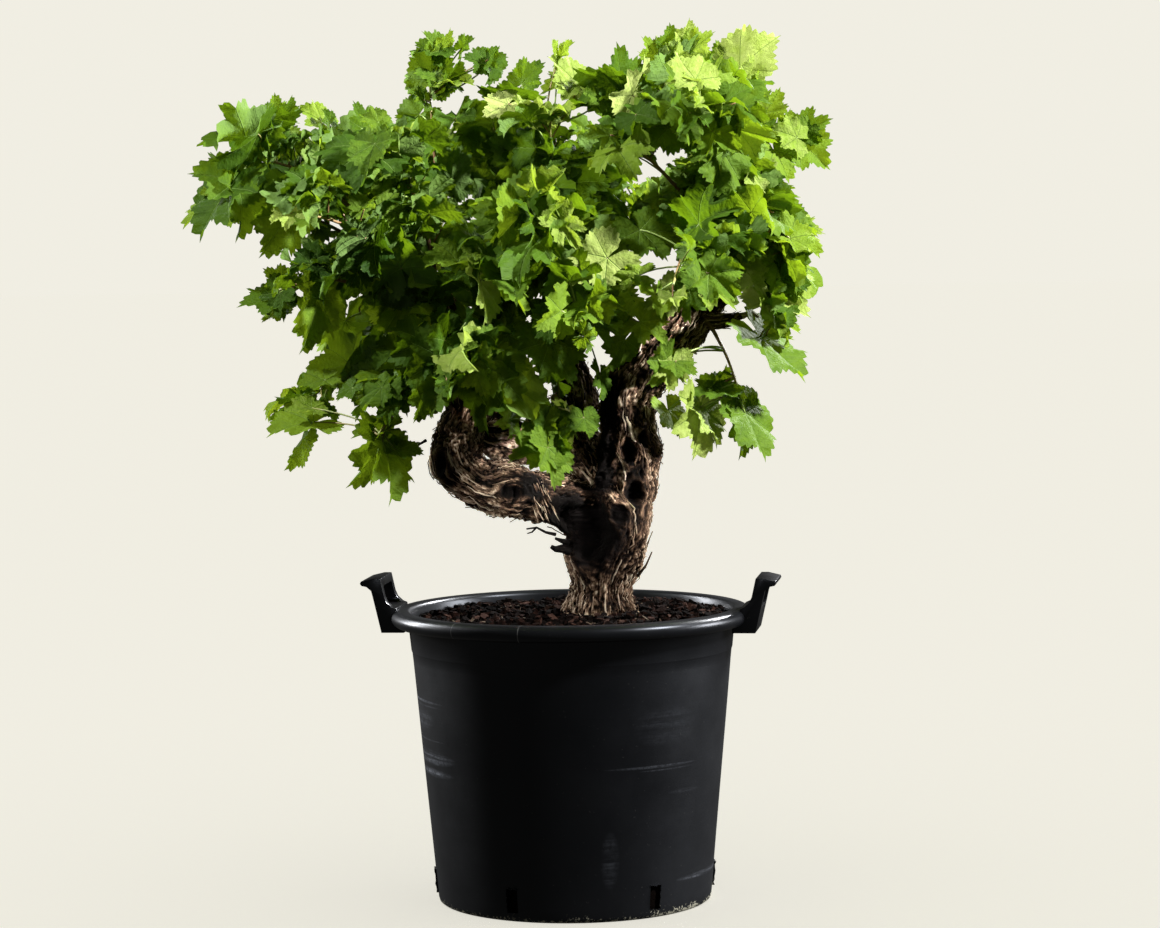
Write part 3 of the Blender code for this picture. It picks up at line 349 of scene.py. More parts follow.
# Leaves set where the photo shows them: foot and tip in pixels, depth y in metres, turn away from
# the camera in degrees, kind and tint
# Each leaf's tint is partly its own tone and partly painted light and shade: paler where the leaf is lit, darker where
# it lies in shadow
PLACED = [
    (437, 50, 408, 56, 0.03, 60, 2, 0.35), (440, 50, 421, 31, 0.03, 40, 1, 0.45), (441, 50, 450, 27, 0.03, 55, 1, 0.65),
    (462, 48, 475, 37, 0.03, 45, 1, 0.30), (487, 64, 461, 58, 0.02, 35, 1, 0.30), (488, 60, 509, 57, 0.02, 30, 2, 0.30),
    (446, 80, 412, 76, 0.03, 68, 1, 0.45), (447, 80, 462, 58, 0.02, 50, 1, 0.40), (449, 80, 476, 84, 0.02, 60, 1, 0.75),
    (447, 80, 422, 90, 0.02, 70, 0, 0.70), (424, 100, 408, 90, 0.02, 45, 2, 0.45), (520, 98, 477, 82, 0.01, 52, 1, 0.25), (494, 64, 484, 86, 0.02, 52, 1, 0.30),
    (522, 84, 546, 62, 0.02, 35, 1, 0.40), (575, 82, 546, 58, 0.02, 45, 1, 0.80), (578, 84, 538, 92, 0.02, 50, 1, 0.75), (560, 56, 575, 41, 0.02, 66, 0, 0.70), (556, 54, 551, 39, 0.02, 70, 0, 0.70),
    (508, 104, 482, 118, -0.02, 30, 1, 0.95), (624, 90, 571, 68, 0.00, 42, 1, 0.25), (622, 92, 614, 42, 0.00, 30, 1, 0.30),
    (632, 95, 646, 53, -0.03, 60, 1, 0.95), (668, 50, 668, 22, 0.02, 36, 1, 0.40), (682, 42, 689, 17, 0.01, 48, 0, 0.80),
    (656, 58, 641, 36, 0.02, 28, 1, 0.60), (690, 52, 716, 31, 0.00, 28, 1, 0.72), (722, 62, 735, 38, 0.02, 30, 1, 0.25),
    (740, 68, 781, 34, -0.02, 22, 0, 0.84), (752, 108, 760, 76, -0.02, 55, 1, 0.60), (764, 114, 781, 87, -0.02, 42, 1, 0.70), (774, 150, 790, 184, -0.03, 42, 1, 0.66), (722, 148, 736, 118, -0.05, 60, 1, 0.95),
    (800, 132, 834, 120, 0.00, 25, 2, 0.45), (800, 142, 831, 169, -0.01, 20, 1, 0.55), (797, 138, 769, 128, -0.02, 30, 1, 0.75),
    (782, 124, 791, 108, 0.00, 50, 1, 0.70), (700, 80, 690, 60, -0.04, 40, 1, 0.55), (680, 88, 662, 62, -0.05, 50, 1, 0.50), (640, 230, 668, 262, -0.08, 30, 1, 0.45),
    (600, 100, 582, 90, -0.02, 40, 2, 0.50), (258, 134, 209, 162, -0.10, 66, 2, 0.10), (272, 119, 304, 107, -0.06, 58, 1, 0.18), (264, 122, 271, 153, -0.07, 45, 2, 0.15),
    (273, 117, 274, 92, -0.02, 30, 1, 0.50), (284, 114, 293, 95, -0.02, 40, 1, 0.35), (322, 122, 296, 108, -0.02, 42, 1, 0.72), (330, 124, 322, 108, -0.03, 50, 1, 0.40), (362, 128, 353, 100, -0.03, 45, 2, 0.35),
    (238, 180, 187, 174, -0.07, 36, 1, 0.42), (230, 188, 196, 242, -0.08, 60, 1, 0.25), (214, 202, 184, 231, -0.04, 72, 1, 0.65),
    (216, 190, 199, 196, -0.05, 30, 1, 0.70), (240, 192, 239, 244, -0.06, 55, 1, 0.45), (288, 212, 259, 259, -0.08, 28, 1, 0.50),
    (300, 202, 263, 206, -0.08, 50, 1, 0.55), (283, 285, 262, 268, -0.05, 20, 1, 0.52), (280, 298, 238, 311, -0.06, 54, 1, 0.38),
    (292, 290, 284, 323, -0.06, 62, 1, 0.18), (280, 310, 262, 324, -0.04, 55, 1, 0.60), (318, 298, 303, 354, -0.10, 45, 2, 0.60), (308, 316, 299, 355, -0.09, 60, 1, 0.50),
    (325, 380, 296, 388, -0.06, 55, 1, 0.55), (300, 396, 274, 396, -0.05, 70, 0, 0.10), (314, 422, 265, 437, -0.08, 58, 0, 0.60),
    (312, 408, 284, 413, -0.09, 58, 1, 0.72), (303, 438, 282, 469, -0.06, 70, 0, 0.50), (324, 406, 334, 425, -0.06, 62, 0, 0.30),
    (383, 442, 391, 508, -0.11, 62, 1, 0.50), (380, 446, 345, 488, -0.10, 52, 1, 0.52), (386, 430, 350, 438, -0.11, 60, 1, 0.50), (396, 450, 424, 457, -0.10, 58, 0, 0.30), (372, 392, 357, 407, -0.12, 45, 1, 0.65),
    (444, 358, 431, 417, -0.17, 12, 1, 0.44), (426, 392, 414, 424, -0.16, 40, 1, 0.44), (450, 357, 482, 345, -0.18, 45, 1, 0.52), (455, 360, 488, 386, -0.16, 30, 1, 0.40), (352, 388, 337, 403, -0.12, 55, 1, 0.40),
    (485, 360, 524, 402, -0.15, 30, 1, 0.50), (490, 382, 487, 437, -0.13, 55, 0, 0.28), (550, 342, 574, 388, -0.13, 20, 1, 0.40),
    (548, 425, 535, 402, -0.12, 30, 1, 0.40), (530, 450, 512, 437, -0.12, 40, 1, 0.42), (548, 448, 556, 491, -0.14, 48, 1, 0.52),
    (545, 450, 506, 462, -0.13, 40, 2, 0.50), (552, 446, 574, 426, -0.12, 30, 1, 0.35), (584, 418, 590, 440, -0.11, 30, 0, 0.45),
    (517, 215, 562, 262, -0.20, 10, 1, 0.50), (511, 212, 491, 248, -0.20, 12, 1, 0.50), (560, 222, 590, 208, -0.18, 30, 1, 0.50),
    (480, 281, 486, 328, -0.19, 68, 0, 0.80), (502, 278, 528, 316, -0.19, 62, 1, 0.60), (607, 258, 566, 287, -0.16, 20, 1, 0.85),
    (745, 413, 765, 463, -0.05, 55, 0, 0.48), (742, 415, 738, 461, -0.045, 58, 0, 0.50), (699, 408, 692, 461, -0.06, 50, 1, 0.82), (704, 410, 717, 450, -0.055, 60, 1, 0.80), (668, 410, 679, 440, -0.05, 46, 0, 0.66),
    (722, 388, 688, 398, -0.06, 50, 1, 0.42), (722, 387, 747, 402, -0.05, 60, 1, 0.52), (716, 384, 727, 364, -0.05, 60, 0, 0.55),
    (760, 337, 805, 384, -0.05, 64, 0, 0.46), (766, 336, 795, 340, -0.04, 66, 1, 0.60), (778, 262, 808, 306, -0.03, 45, 1, 0.74),
    (768, 294, 812, 317, -0.04, 38, 1, 0.84), (778, 320, 801, 334, -0.05, 52, 1, 0.70), (768, 298, 776, 340, -0.05, 60, 1, 0.74), (742, 268, 765, 298, -0.06, 40, 1, 0.90),
    (704, 282, 739, 310, -0.10, 35, 2, 0.72), (703, 282, 677, 293, -0.10, 40, 1, 0.85), (705, 280, 732, 260, -0.10, 60, 1, 0.70),
    (790, 230, 826, 235, -0.03, 40, 2, 0.80), (785, 225, 799, 200, -0.03, 30, 1, 0.70), (788, 232, 821, 254, -0.03, 45, 1, 0.80),
    (748, 245, 722, 240, -0.08, 50, 1, 0.35), (728, 215, 703, 228, -0.08, 40, 2, 0.60), (672, 362, 668, 394, -0.09, 20, 2, 0.82),
    (668, 360, 645, 385, -0.09, 45, 1, 0.50), (675, 362, 697, 378, -0.09, 45, 1, 0.50), (640, 322, 668, 345, -0.10, 30, 2, 0.60),
    (672, 292, 643, 312, -0.10, 30, 2, 0.82), (600, 375, 598, 402, -0.08, 60, 1, 0.40), (625, 340, 600, 372, -0.09, 50, 1, 0.50),
]
HALF_SPREAD = 165.0
TEETH = 32
# Shape of one tooth: place between this tooth and the next, and share of the tooth's depth
TOOTH = [(0.0, 0.0), (0.30, 1.0), (0.62, 0.42)]
# Rings of points from the middle of a leaf to its edge: share of the way out, and steps for each tooth
RINGS = [(0.25, 1), (0.48, 1), (0.70, 1), (0.87, 3), (1.0, 3)]
# How deep the leaf's sinuses and teeth are cut, one pair for each kind of leaf
LEAF_KINDS = [(0.05, 0.10), (0.40, 0.11), (0.80, 0.12), (1.3, 0.13)]


# Materials
def material(name):
    made = bpy.data.materials.new(name)
    made.use_nodes = True
    nodes = made.node_tree.nodes
    return made, nodes, made.node_tree.links, nodes["Principled BSDF"]


def node(nodes, kind, **values):
    made = nodes.new(kind)
    for key, value in values.items():
        if key.startswith("in_"):
            made.inputs[int(key[3:])].default_value = value
        else:
            setattr(made, key, value)
    return made


def ramp(nodes, links, source, stops):
    made = nodes.new("ShaderNodeValToRGB")
    elements = made.color_ramp.elements
    while len(elements) < len(stops):
        elements.new(0.5)
    for element, (place, colour) in zip(elements, stops):
        element.position = place
        element.color = (*colour, 1.0)
    links.new(source, made.inputs[0])
    return made.outputs[0]


def maths(nodes, links, operation, first, second=None, third=None):
    made = node(nodes, "ShaderNodeMath", operation=operation)
    for index, value in enumerate((first, second, third)):
        if value is None:
            continue
        if isinstance(value, (int, float)):
            made.inputs[index].default_value = value
        else:
            links.new(value, made.inputs[index])
    return made.outputs[0]


def mix_colour(nodes, links, factor, first, second, blend="MIX"):
    made = node(nodes, "ShaderNodeMix", data_type="RGBA", blend_type=blend)
    for socket, value in ((made.inputs[0], factor), (made.inputs[6], first), (made.inputs[7], second)):
        if isinstance(value, (int, float)):
            socket.default_value = value
        elif isinstance(value, tuple):
            socket.default_value = (*value, 1.0)
        else:
            links.new(value, socket)
    return made.outputs[2]


def noise_at(nodes, links, source, scale, detail=4.0, rough=0.6):
    made = node(nodes, "ShaderNodeTexNoise")
    made.inputs["Scale"].default_value = scale
    made.inputs["Detail"].default_value = detail
    made.inputs["Roughness"].default_value = rough
    links.new(source, made.inputs["Vector"])
    return made.outputs[0]


def bump(nodes, links, height, strength, distance, *shaders):
    made = node(nodes, "ShaderNodeBump")
    made.inputs["Strength"].default_value = strength
    made.inputs["Distance"].default_value = distance
    links.new(height, made.inputs["Height"])
    for shader in shaders:
        links.new(made.outputs[0], shader.inputs["Normal"])


def backdrop_material():
    made, nodes, links, shader = material("backdrop")
    tone = noise_at(nodes, links, node(nodes, "ShaderNodeTexCoord").outputs["Object"], 40.0)
    plain = tuple(FLOOR_TONE * part for part in BACKDROP)
    links.new(mix_colour(nodes, links, maths(nodes, links, "MULTIPLY", tone, 0.01), plain, (1, 1, 1)), shader.inputs[0])
    shader.inputs["Roughness"].default_value = 1.0
    shader.inputs["Specular IOR Level"].default_value = 0.0
    shader.inputs["Emission Color"].default_value = (*BACKDROP, 1.0)
    shader.inputs["Emission Strength"].default_value = FLOOR_GLOW
    return made


def bark_material():
    """Fibrous bark: dark in the furrows, tan to grey on the strands; partly the bark's own colour, partly painted shade
    in the furrows and painted highlight on the strand tops.
    """
    made, nodes, links, shader = material("bark")
    # the ridge attribute also carries the painted shade of the hollows and of the shaded places
    ridge = node(nodes, "ShaderNodeAttribute", attribute_name="ridge").outputs["Fac"]
    grain = node(nodes, "ShaderNodeAttribute", attribute_name="grain").outputs["Vector"]
    place = node(nodes, "ShaderNodeTexCoord").outputs["Object"]
    stretch = node(nodes, "ShaderNodeMapping")
    stretch.inputs["Scale"].default_value = (520.0, 520.0, 95.0)
    links.new(grain, stretch.inputs[0])
    fibre = noise_at(nodes, links, stretch.outputs[0], 1.0, 4.0, 0.65)
    patches = noise_at(nodes, links, place, 34.0)
    crumbs = noise_at(nodes, links, place, 380.0, 3.0, 0.7)
    height = maths(nodes, links, "MULTIPLY_ADD", fibre, 0.75, ridge)
    height = maths(nodes, links, "MULTIPLY_ADD", crumbs, 0.35, height)
    height = maths(nodes, links, "MULTIPLY_ADD", patches, 0.24, height)
    height = maths(nodes, links, "SUBTRACT", height, 0.67)
    # the dark end is partly painted shade in the furrows, the pale end partly painted highlight on the strand tops
    stops = [
        (0.25, (0.0020, 0.0014, 0.0011)),
        (0.49, (0.014, 0.0082, 0.0052)),
        (0.66, (0.074, 0.043, 0.026)),
        (0.81, (0.200, 0.132, 0.084)),
        (1.00, (0.500, 0.400, 0.290)),
    ]
    colour = ramp(nodes, links, height, stops)
    links.new(colour, shader.inputs["Base Color"])
    shader.inputs["Roughness"].default_value = 0.90
    shader.inputs["Specular IOR Level"].default_value = 0.05
    rise = maths(nodes, links, "MULTIPLY_ADD", crumbs, 0.5, fibre)
    bump(nodes, links, rise, 0.9, 0.0022, shader)
    return made


def leaf_material():
    """A leaf blade with its veins, satin above, paler below, which lets light through."""
    made, nodes, links, shader = material("leaf")
    blade = node(nodes, "ShaderNodeAttribute", attribute_name="blade").outputs["Vector"]
    split = node(nodes, "ShaderNodeSeparateXYZ")
    links.new(blade, split.inputs[0])
    across, along, tint_and_painted_light = split.outputs

    # Distance to the nearest main vein, and the place along it
    nearest, length = None, None
    for angle in VEIN_ANGLES:
        turn = math.radians(angle)
        ahead = maths(nodes, links, "MULTIPLY", across, math.sin(turn))
        ahead = maths(nodes, links, "MULTIPLY_ADD", along, math.cos(turn), ahead)
        aside = maths(nodes, links, "MULTIPLY", across, math.cos(turn))
        aside = maths(nodes, links, "MULTIPLY_ADD", along, -math.sin(turn), aside)
        aside = maths(nodes, links, "ABSOLUTE", aside)
        behind = maths(nodes, links, "LESS_THAN", ahead, 0.0)
        aside = maths(nodes, links, "ADD", aside, behind)
        if nearest is None:
            nearest, length = aside, ahead
            continue
        closer = maths(nodes, links, "LESS_THAN", aside, nearest)
        gain = maths(nodes, links, "SUBTRACT", ahead, length)
        length = maths(nodes, links, "MULTIPLY_ADD", gain, closer, length)
        nearest = maths(nodes, links, "MINIMUM", nearest, aside)
    wide = maths(nodes, links, "MULTIPLY_ADD", length, -0.010, 0.016)
    main = maths(nodes, links, "DIVIDE", nearest, wide)
    main = maths(nodes, links, "SUBTRACT", 1.0, main)
    main = maths(nodes, links, "MAXIMUM", main, 0.0)

    # Side veins leave the main ones at a slant
    slant = maths(nodes, links, "MULTIPLY_ADD", nearest, -0.85, length)
    waves = maths(nodes, links, "MULTIPLY", slant, 8.5)
    waves = maths(nodes, links, "FRACT", waves)
    waves = maths(nodes, links, "SUBTRACT", waves, 0.5)
    waves = maths(nodes, links, "ABSOLUTE", waves)
    side = maths(nodes, links, "SUBTRACT", 1.0, maths(nodes, links, "DIVIDE", waves, 0.085))
    side = maths(nodes, links, "MAXIMUM", side, 0.0)
    veins = maths(nodes, links, "MULTIPLY_ADD", side, 0.16, main)
    veins = maths(nodes, links, "MINIMUM", veins, 1.0)
    quilt = maths(nodes, links, "MULTIPLY", waves, -1.6)
    quilt = maths(nodes, links, "ADD", quilt, 0.8)
    quilt = maths(nodes, links, "MAXIMUM", quilt, 0.0)
    quilt = maths(nodes, links, "MULTIPLY", quilt, 0.22)
    crinkle = noise_at(nodes, links, blade, 9.0, 4.0, 0.6)

    mottle = noise_at(nodes, links, blade, 5.0, 4.0)
    # the tint is partly the leaf's own tone and partly painted light and shade, from near black green to pale yellow
    # green
    shade = maths(nodes, links, "MULTIPLY_ADD", mottle, 0.30, tint_and_painted_light)
    shade = maths(nodes, links, "SUBTRACT", shade, 0.15)
    top = [
        (0.00, (0.012, 0.034, 0.003)),
        (0.40, (0.042, 0.086, 0.007)),
        (0.70, (0.120, 0.190, 0.016)),
        (1.00, (0.330, 0.375, 0.120)),
    ]
    through = [
        (0.00, (0.066, 0.140, 0.003)),
        (0.40, (0.170, 0.290, 0.006)),
        (0.70, (0.340, 0.480, 0.016)),
        (1.00, (0.500, 0.600, 0.180)),
    ]
    colour = ramp(nodes, links, shade, top)
    glow = ramp(nodes, links, shade, through)
    colour = mix_colour(nodes, links, maths(nodes, links, "MULTIPLY", veins, 0.55), colour, (0.26, 0.40, 0.10))
    glow = mix_colour(nodes, links, maths(nodes, links, "MULTIPLY", veins, 0.35), glow, (0.20, 0.34, 0.03))
    under = node(nodes, "ShaderNodeNewGeometry").outputs["Backfacing"]
    colour = mix_colour(nodes, links, maths(nodes, links, "MULTIPLY", under, 0.55), colour, (0.150, 0.240, 0.070))
    links.new(colour, shader.inputs["Base Color"])
    shader.inputs["Roughness"].default_value = 0.55
    shader.inputs["Specular IOR Level"].default_value = 0.06
    height = maths(nodes, links, "MULTIPLY", veins, -0.7)
    height = maths(nodes, links, "ADD", height, quilt)
    height = maths(nodes, links, "MULTIPLY_ADD", crinkle, 1.8, height)
    lamp = node(nodes, "ShaderNodeBsdfTranslucent")
    bump(nodes, links, height, 1.0, 0.0019, shader, lamp)
    links.new(glow, lamp.inputs[0])
    blend = node(nodes, "ShaderNodeMixShader", in_0=0.36)
    links.new(shader.outputs[0], blend.inputs[1])
    links.new(lamp.outputs[0], blend.inputs[2])
    links.new(blend.outputs[0], nodes["Material Output"].inputs[0])
    return made


def stalk_material():
    """Petioles and canes: brown old cane, then green and reddish stalks."""
    made, nodes, links, shader = material("stalk")
    age = node(nodes, "ShaderNodeAttribute", attribute_name="age").outputs["Fac"]
    place = node(nodes, "ShaderNodeTexCoord").outputs["Object"]
    speck = noise_at(nodes, links, place, 160.0)
    share = maths(nodes, links, "MULTIPLY_ADD", speck, 0.3, age)
    share = maths(nodes, links, "SUBTRACT", share, 0.15)
    stops = [
        (0.0, (0.060, 0.032, 0.018)),
        (0.35, (0.160, 0.080, 0.038)),
        (0.55, (0.210, 0.130, 0.050)),
        (0.75, (0.170, 0.230, 0.050)),
        (1.0, (0.240, 0.340, 0.080)),
    ]
    links.new(ramp(nodes, links, share, stops), shader.inputs["Base Color"])
    shader.inputs["Roughness"].default_value = 0.5
    bump(nodes, links, speck, 0.3, 0.0006, shader)
    return made


def soil_material():
    made, nodes, links, shader = material("soil")
    place = node(nodes, "ShaderNodeTexCoord").outputs["Object"]
    grain = noise_at(nodes, links, place, 260.0, 5.0, 0.7)
    patch = noise_at(nodes, links, place, 60.0, 3.0)
    chip = node(nodes, "ShaderNodeAttribute", attribute_name="chip").outputs["Fac"]
    height = maths(nodes, links, "MULTIPLY_ADD", patch, 0.35, chip)
    height = maths(nodes, links, "MULTIPLY_ADD", grain, 0.45, height)
    height = maths(nodes, links, "SUBTRACT", height, 0.35)
    # partly the soil's own dark colour and partly painted shade: the colours are darkened as if the soil lay in the
    # shadow of the rim and the canopy
    stops = [
        (0.0, (0.002, 0.0013, 0.001)),
        (0.30, (0.008, 0.0045, 0.0035)),
        (0.55, (0.030, 0.0135, 0.010)),
        (0.80, (0.090, 0.046, 0.034)),
        (1.0, (0.380, 0.300, 0.220)),
    ]
    links.new(ramp(nodes, links, height, stops), shader.inputs["Base Color"])
    shader.inputs["Roughness"].default_value = 0.95
    shader.inputs["Specular IOR Level"].default_value = 0.06
    bump(nodes, links, grain, 0.8, 0.002, shader)
    return made


def turn_of(nodes, links, place):
    """Turn from the container's front in degrees, and height."""
    split = node(nodes, "ShaderNodeSeparateXYZ")
    links.new(place, split.inputs[0])
    ahead = maths(nodes, links, "MULTIPLY", split.outputs[1], -1.0)
    turn = maths(nodes, links, "ARCTAN2", split.outputs[0], ahead)
    return maths(nodes, links, "DEGREES", turn), split.outputs[2]


def scaled(nodes, links, value, centre, half):
    """How far a value is from a centre, in units of half."""
    away = maths(nodes, links, "SUBTRACT", value, centre)
    return maths(nodes, links, "DIVIDE", away, half)


def scuff_amount(nodes, links, turn, height, streaks):
    """Soft edged patches of rubbed plastic, broken up by fine streaks."""
    total = None
    for at, level, half_turn, half_height, strength in SCUFFS:
        aside = scaled(nodes, links, turn, float(at), float(half_turn))
        above = scaled(nodes, links, height, level, half_height)
        away = maths(nodes, links, "MULTIPLY", above, above)
        away = maths(nodes, links, "MULTIPLY_ADD", aside, aside, away)
        near = maths(nodes, links, "SUBTRACT", 1.0, away)
        near = maths(nodes, links, "MAXIMUM", near, 0.0)
        near = maths(nodes, links, "MULTIPLY", near, strength)
        total = near if total is None else maths(nodes, links, "MAXIMUM", total, near)
    broken = ramp(nodes, links, streaks, [(0.40, (0.05, 0.05, 0.05)), (0.62, (1.0, 1.0, 1.0))])
    return maths(nodes, links, "MULTIPLY", total, broken)


def crust_amount(nodes, links, turn, height, crumbs, cloud):
    """Pale mineral crumbs along the foot and round the drain slots."""
    low = maths(nodes, links, "DIVIDE", height, CRUST_HEIGHT)
    low = maths(nodes, links, "SUBTRACT", 1.0, low)
    low = maths(nodes, links, "MAXIMUM", low, 0.0)
    part = maths(nodes, links, "MULTIPLY_ADD", turn, SLOT_COUNT / 360.0, -math.degrees(SLOT_TURN) * SLOT_COUNT / 360.0)
    part = maths(nodes, links, "PINGPONG", part, 0.5)
    close = maths(nodes, links, "DIVIDE", part, 0.20)
    close = maths(nodes, links, "SUBTRACT", 1.0, close)
    short = maths(nodes, links, "DIVIDE", height, 2.2 * CRUST_HEIGHT)
    short = maths(nodes, links, "SUBTRACT", 1.0, short)
    near = maths(nodes, links, "MULTIPLY", maths(nodes, links, "MAXIMUM", close, 0.0), short)
    both = maths(nodes, links, "MAXIMUM", low, near)
    amount = maths(nodes, links, "MULTIPLY_ADD", both, 0.36, crumbs)
    amount = maths(nodes, links, "MULTIPLY_ADD", cloud, 0.65, amount)
    amount = maths(nodes, links, "SUBTRACT", amount, 1.13)
    amount = maths(nodes, links, "MULTIPLY", amount, maths(nodes, links, "MULTIPLY", both, 24.0))
    amount = maths(nodes, links, "MAXIMUM", amount, 0.0)
    return maths(nodes, links, "MINIMUM", amount, 1.0)


def crack_amount(nodes, links, turn, height):
    total = None
    for at in CRACKS:
        away = maths(nodes, links, "ABSOLUTE", maths(nodes, links, "SUBTRACT", turn, at))
        line = maths(nodes, links, "LESS_THAN", away, CRACK_HALF_WIDTH)
        total = line if total is None else maths(nodes, links, "MAXIMUM", total, line)
    on_bead = maths(nodes, links, "GREATER_THAN", height, POT_HEIGHT - BEAD_HEIGHT)
    return maths(nodes, links, "MULTIPLY", total, on_bead)


def plastic_material(name, colour, roughness, dust_share, marked=False):
    """Black moulded plastic with a dusty bloom, fine scratches and, on the container, its marks of use."""
    made, nodes, links, shader = material(name)
    place = node(nodes, "ShaderNodeTexCoord").outputs["Object"]
    cloud = noise_at(nodes, links, place, 9.0, 6.0, 0.65)
    stretch = node(nodes, "ShaderNodeMapping")
    links.new(place, stretch.inputs[0])
    stretch.inputs["Scale"].default_value = (3.0, 3.0, 60.0)
    scratch = noise_at(nodes, links, stretch.outputs[0], 3.0, 8.0, 0.75)
    specks = noise_at(nodes, links, place, 300.0, 2.0, 0.5)
    dust = node(nodes, "ShaderNodeAttribute", attribute_name="dust").outputs["Fac"]
    lift = maths(nodes, links, "MULTIPLY_ADD", cloud, 0.5, dust)
    lift = maths(nodes, links, "SUBTRACT", lift, 0.25)
    lift = maths(nodes, links, "MULTIPLY", lift, dust_share)
    lift = maths(nodes, links, "MAXIMUM", lift, 0.0)
    lift = maths(nodes, links, "MINIMUM", lift, 1.0)
    tone = mix_colour(nodes, links, lift, colour, (0.098, 0.102, 0.114))
    lines = maths(nodes, links, "GREATER_THAN", scratch, 0.71)
    lines = maths(nodes, links, "MULTIPLY", lines, 0.10)
    tone = mix_colour(nodes, links, lines, tone, (0.22, 0.22, 0.22))
    dots = maths(nodes, links, "GREATER_THAN", specks, 0.735)
    dots = maths(nodes, links, "MULTIPLY", dots, 0.10)
    tone = mix_colour(nodes, links, dots, tone, (0.30, 0.29, 0.27))
    rough = maths(nodes, links, "MULTIPLY_ADD", cloud, 0.22, roughness - 0.11)
    rough = maths(nodes, links, "MULTIPLY_ADD", lift, 0.3, rough)
    if marked:
        turn, height = turn_of(nodes, links, place)
        grit = noise_at(nodes, links, place, 130.0, 6.0, 0.8)
        grit = ramp(nodes, links, grit, [(0.40, (0.25, 0.25, 0.25)), (0.56, (1.0, 1.0, 1.0))])
        rubbed = scuff_amount(nodes, links, turn, height, scratch)
        rubbed = maths(nodes, links, "MULTIPLY", rubbed, grit)
        tone = mix_colour(nodes, links, rubbed, tone, (0.27, 0.29, 0.34))
        crumbs = noise_at(nodes, links, place, 240.0, 4.0, 0.62)
        crust = crust_amount(nodes, links, turn, height, crumbs, cloud)
        tone = mix_colour(nodes, links, crust, tone, (0.44, 0.42, 0.32))
        crack = crack_amount(nodes, links, turn, height)
        tone = mix_colour(nodes, links, maths(nodes, links, "MULTIPLY", crack, 0.5), tone, (0.30, 0.30, 0.30))
        bead = maths(nodes, links, "GREATER_THAN", height, POT_HEIGHT - BEAD_HEIGHT)
        rough = maths(nodes, links, "MULTIPLY_ADD", bead, -0.09, rough)
        rough = maths(nodes, links, "MAXIMUM", rough, maths(nodes, links, "MAXIMUM", rubbed, crust))
    links.new(tone, shader.inputs["Base Color"])
    links.new(rough, shader.inputs["Roughness"])
    shader.inputs["Specular Tint"].default_value = (0.84, 0.89, 1.0, 1.0)
    bump(nodes, links, scratch, 0.12, 0.0006, shader)
    return made


# Meshes
def mesh_object(name, points, faces, materials, slots=None, smooth=True, attributes=None):
    """A mesh object from numpy points and lists of faces, with point attributes."""
    mesh = bpy.data.meshes.new(name)
    mesh.from_pydata([tuple(p) for p in points], [], faces)
    mesh.validate()
    for one in materials:
        mesh.materials.append(one)
    if slots is not None:
        mesh.polygons.foreach_set("material_index", slots)
    mesh.polygons.foreach_set("use_smooth", [smooth] * len(mesh.polygons))
    for key, values in (attributes or {}).items():
        values = np.asarray(values, dtype=np.float32)
        kind = "FLOAT" if values.ndim == 1 else "FLOAT_VECTOR"
        layer = mesh.attributes.new(key, kind, "POINT")
        layer.data.foreach_set("value" if values.ndim == 1 else "vector", values.ravel())
    mesh.update()
    made = bpy.data.objects.new(name, mesh)
    bpy.context.scene.collection.objects.link(made)
    return made


def spline_point(points, place):
    """A point and radius on the smooth curve through given points, at a share from 0 to 1."""
    spans = len(points) - 1
    span = min(int(place * spans), spans - 1)
    share = place * spans - span
    rows = [points[min(max(span + step, 0), spans)] for step in (-1, 0, 1, 2)]
    before, start, end, after = [Vector((*row[0], row[1])) for row in rows]
    return 0.5 * (
        2 * start
        + (end - before) * share
        + (2 * before - 5 * start + 4 * end - after) * share ** 2
        + (3 * start - before - 3 * end + after) * share ** 3
    )


def ring_frames(centres):
    """A steady pair of side directions at each point of a centre line."""
    frames = []
    side = None
    for index, centre in enumerate(centres):
        ahead = centres[min(index + 1, len(centres) - 1)] - centres[max(index - 1, 0)]
        ahead.normalize()
        if side is None:
            side = ahead.orthogonal().normalized()
        side = (side - side.dot(ahead) * ahead).normalized()
        frames.append((side.copy(), ahead.cross(side)))
    return frames


def grid_faces(rings, sides, start=0, closed=True):
    faces = []
    for ring in range(rings - 1):
        low = start + ring * sides
        for index in range(sides if closed else sides - 1):
            after = (index + 1) % sides
            faces.append((low + index, low + after, low + sides + after, low + sides + index))
    return faces


def cap_faces(first, last, sides, low, high):
    """Fans that close a tube: low and high are the middle points of its first and last ring."""
    faces = []
    for index in range(sides):
        after = (index + 1) % sides
        faces.append((first + after, first + index, low))
        faces.append((last + index, last + after, high))
    return faces


def bark_relief(place, along, angle, seed):
    """Ridges that run with the grain, and lumps, as a share of the radius."""
    grain = Vector((1.9 * math.cos(angle), 1.9 * math.sin(angle), along * 9.0 + seed))
    lumps = place * 22.0 + Vector((seed, 0.0, 0.0))
    return 0.26 * noise.noise(grain) + 0.20 * noise.noise(lumps)


def knot_swell(point):
    swell = 0.0
    for place, size in KNOTS:
        distance = (point - Vector(place)).length
        swell += 0.55 * size * math.exp(-((distance / size) ** 2))
    return swell


def lattice(x, y, z, seed):
    """A repeatable number from -1 to 1 for each whole-number place."""
    mixed = (x * 374761393 + y * 668265263 + z * 1274126177 + seed * 974711) & 0xFFFFFFFF
    mixed = ((mixed ^ (mixed >> 13)) * 1103515245) & 0xFFFFFFFF
    mixed = ((mixed ^ (mixed >> 16)) * 668265263) & 0xFFFFFFFF
    return ((mixed ^ (mixed >> 15)) & 0xFFFF) / 32767.5 - 1.0


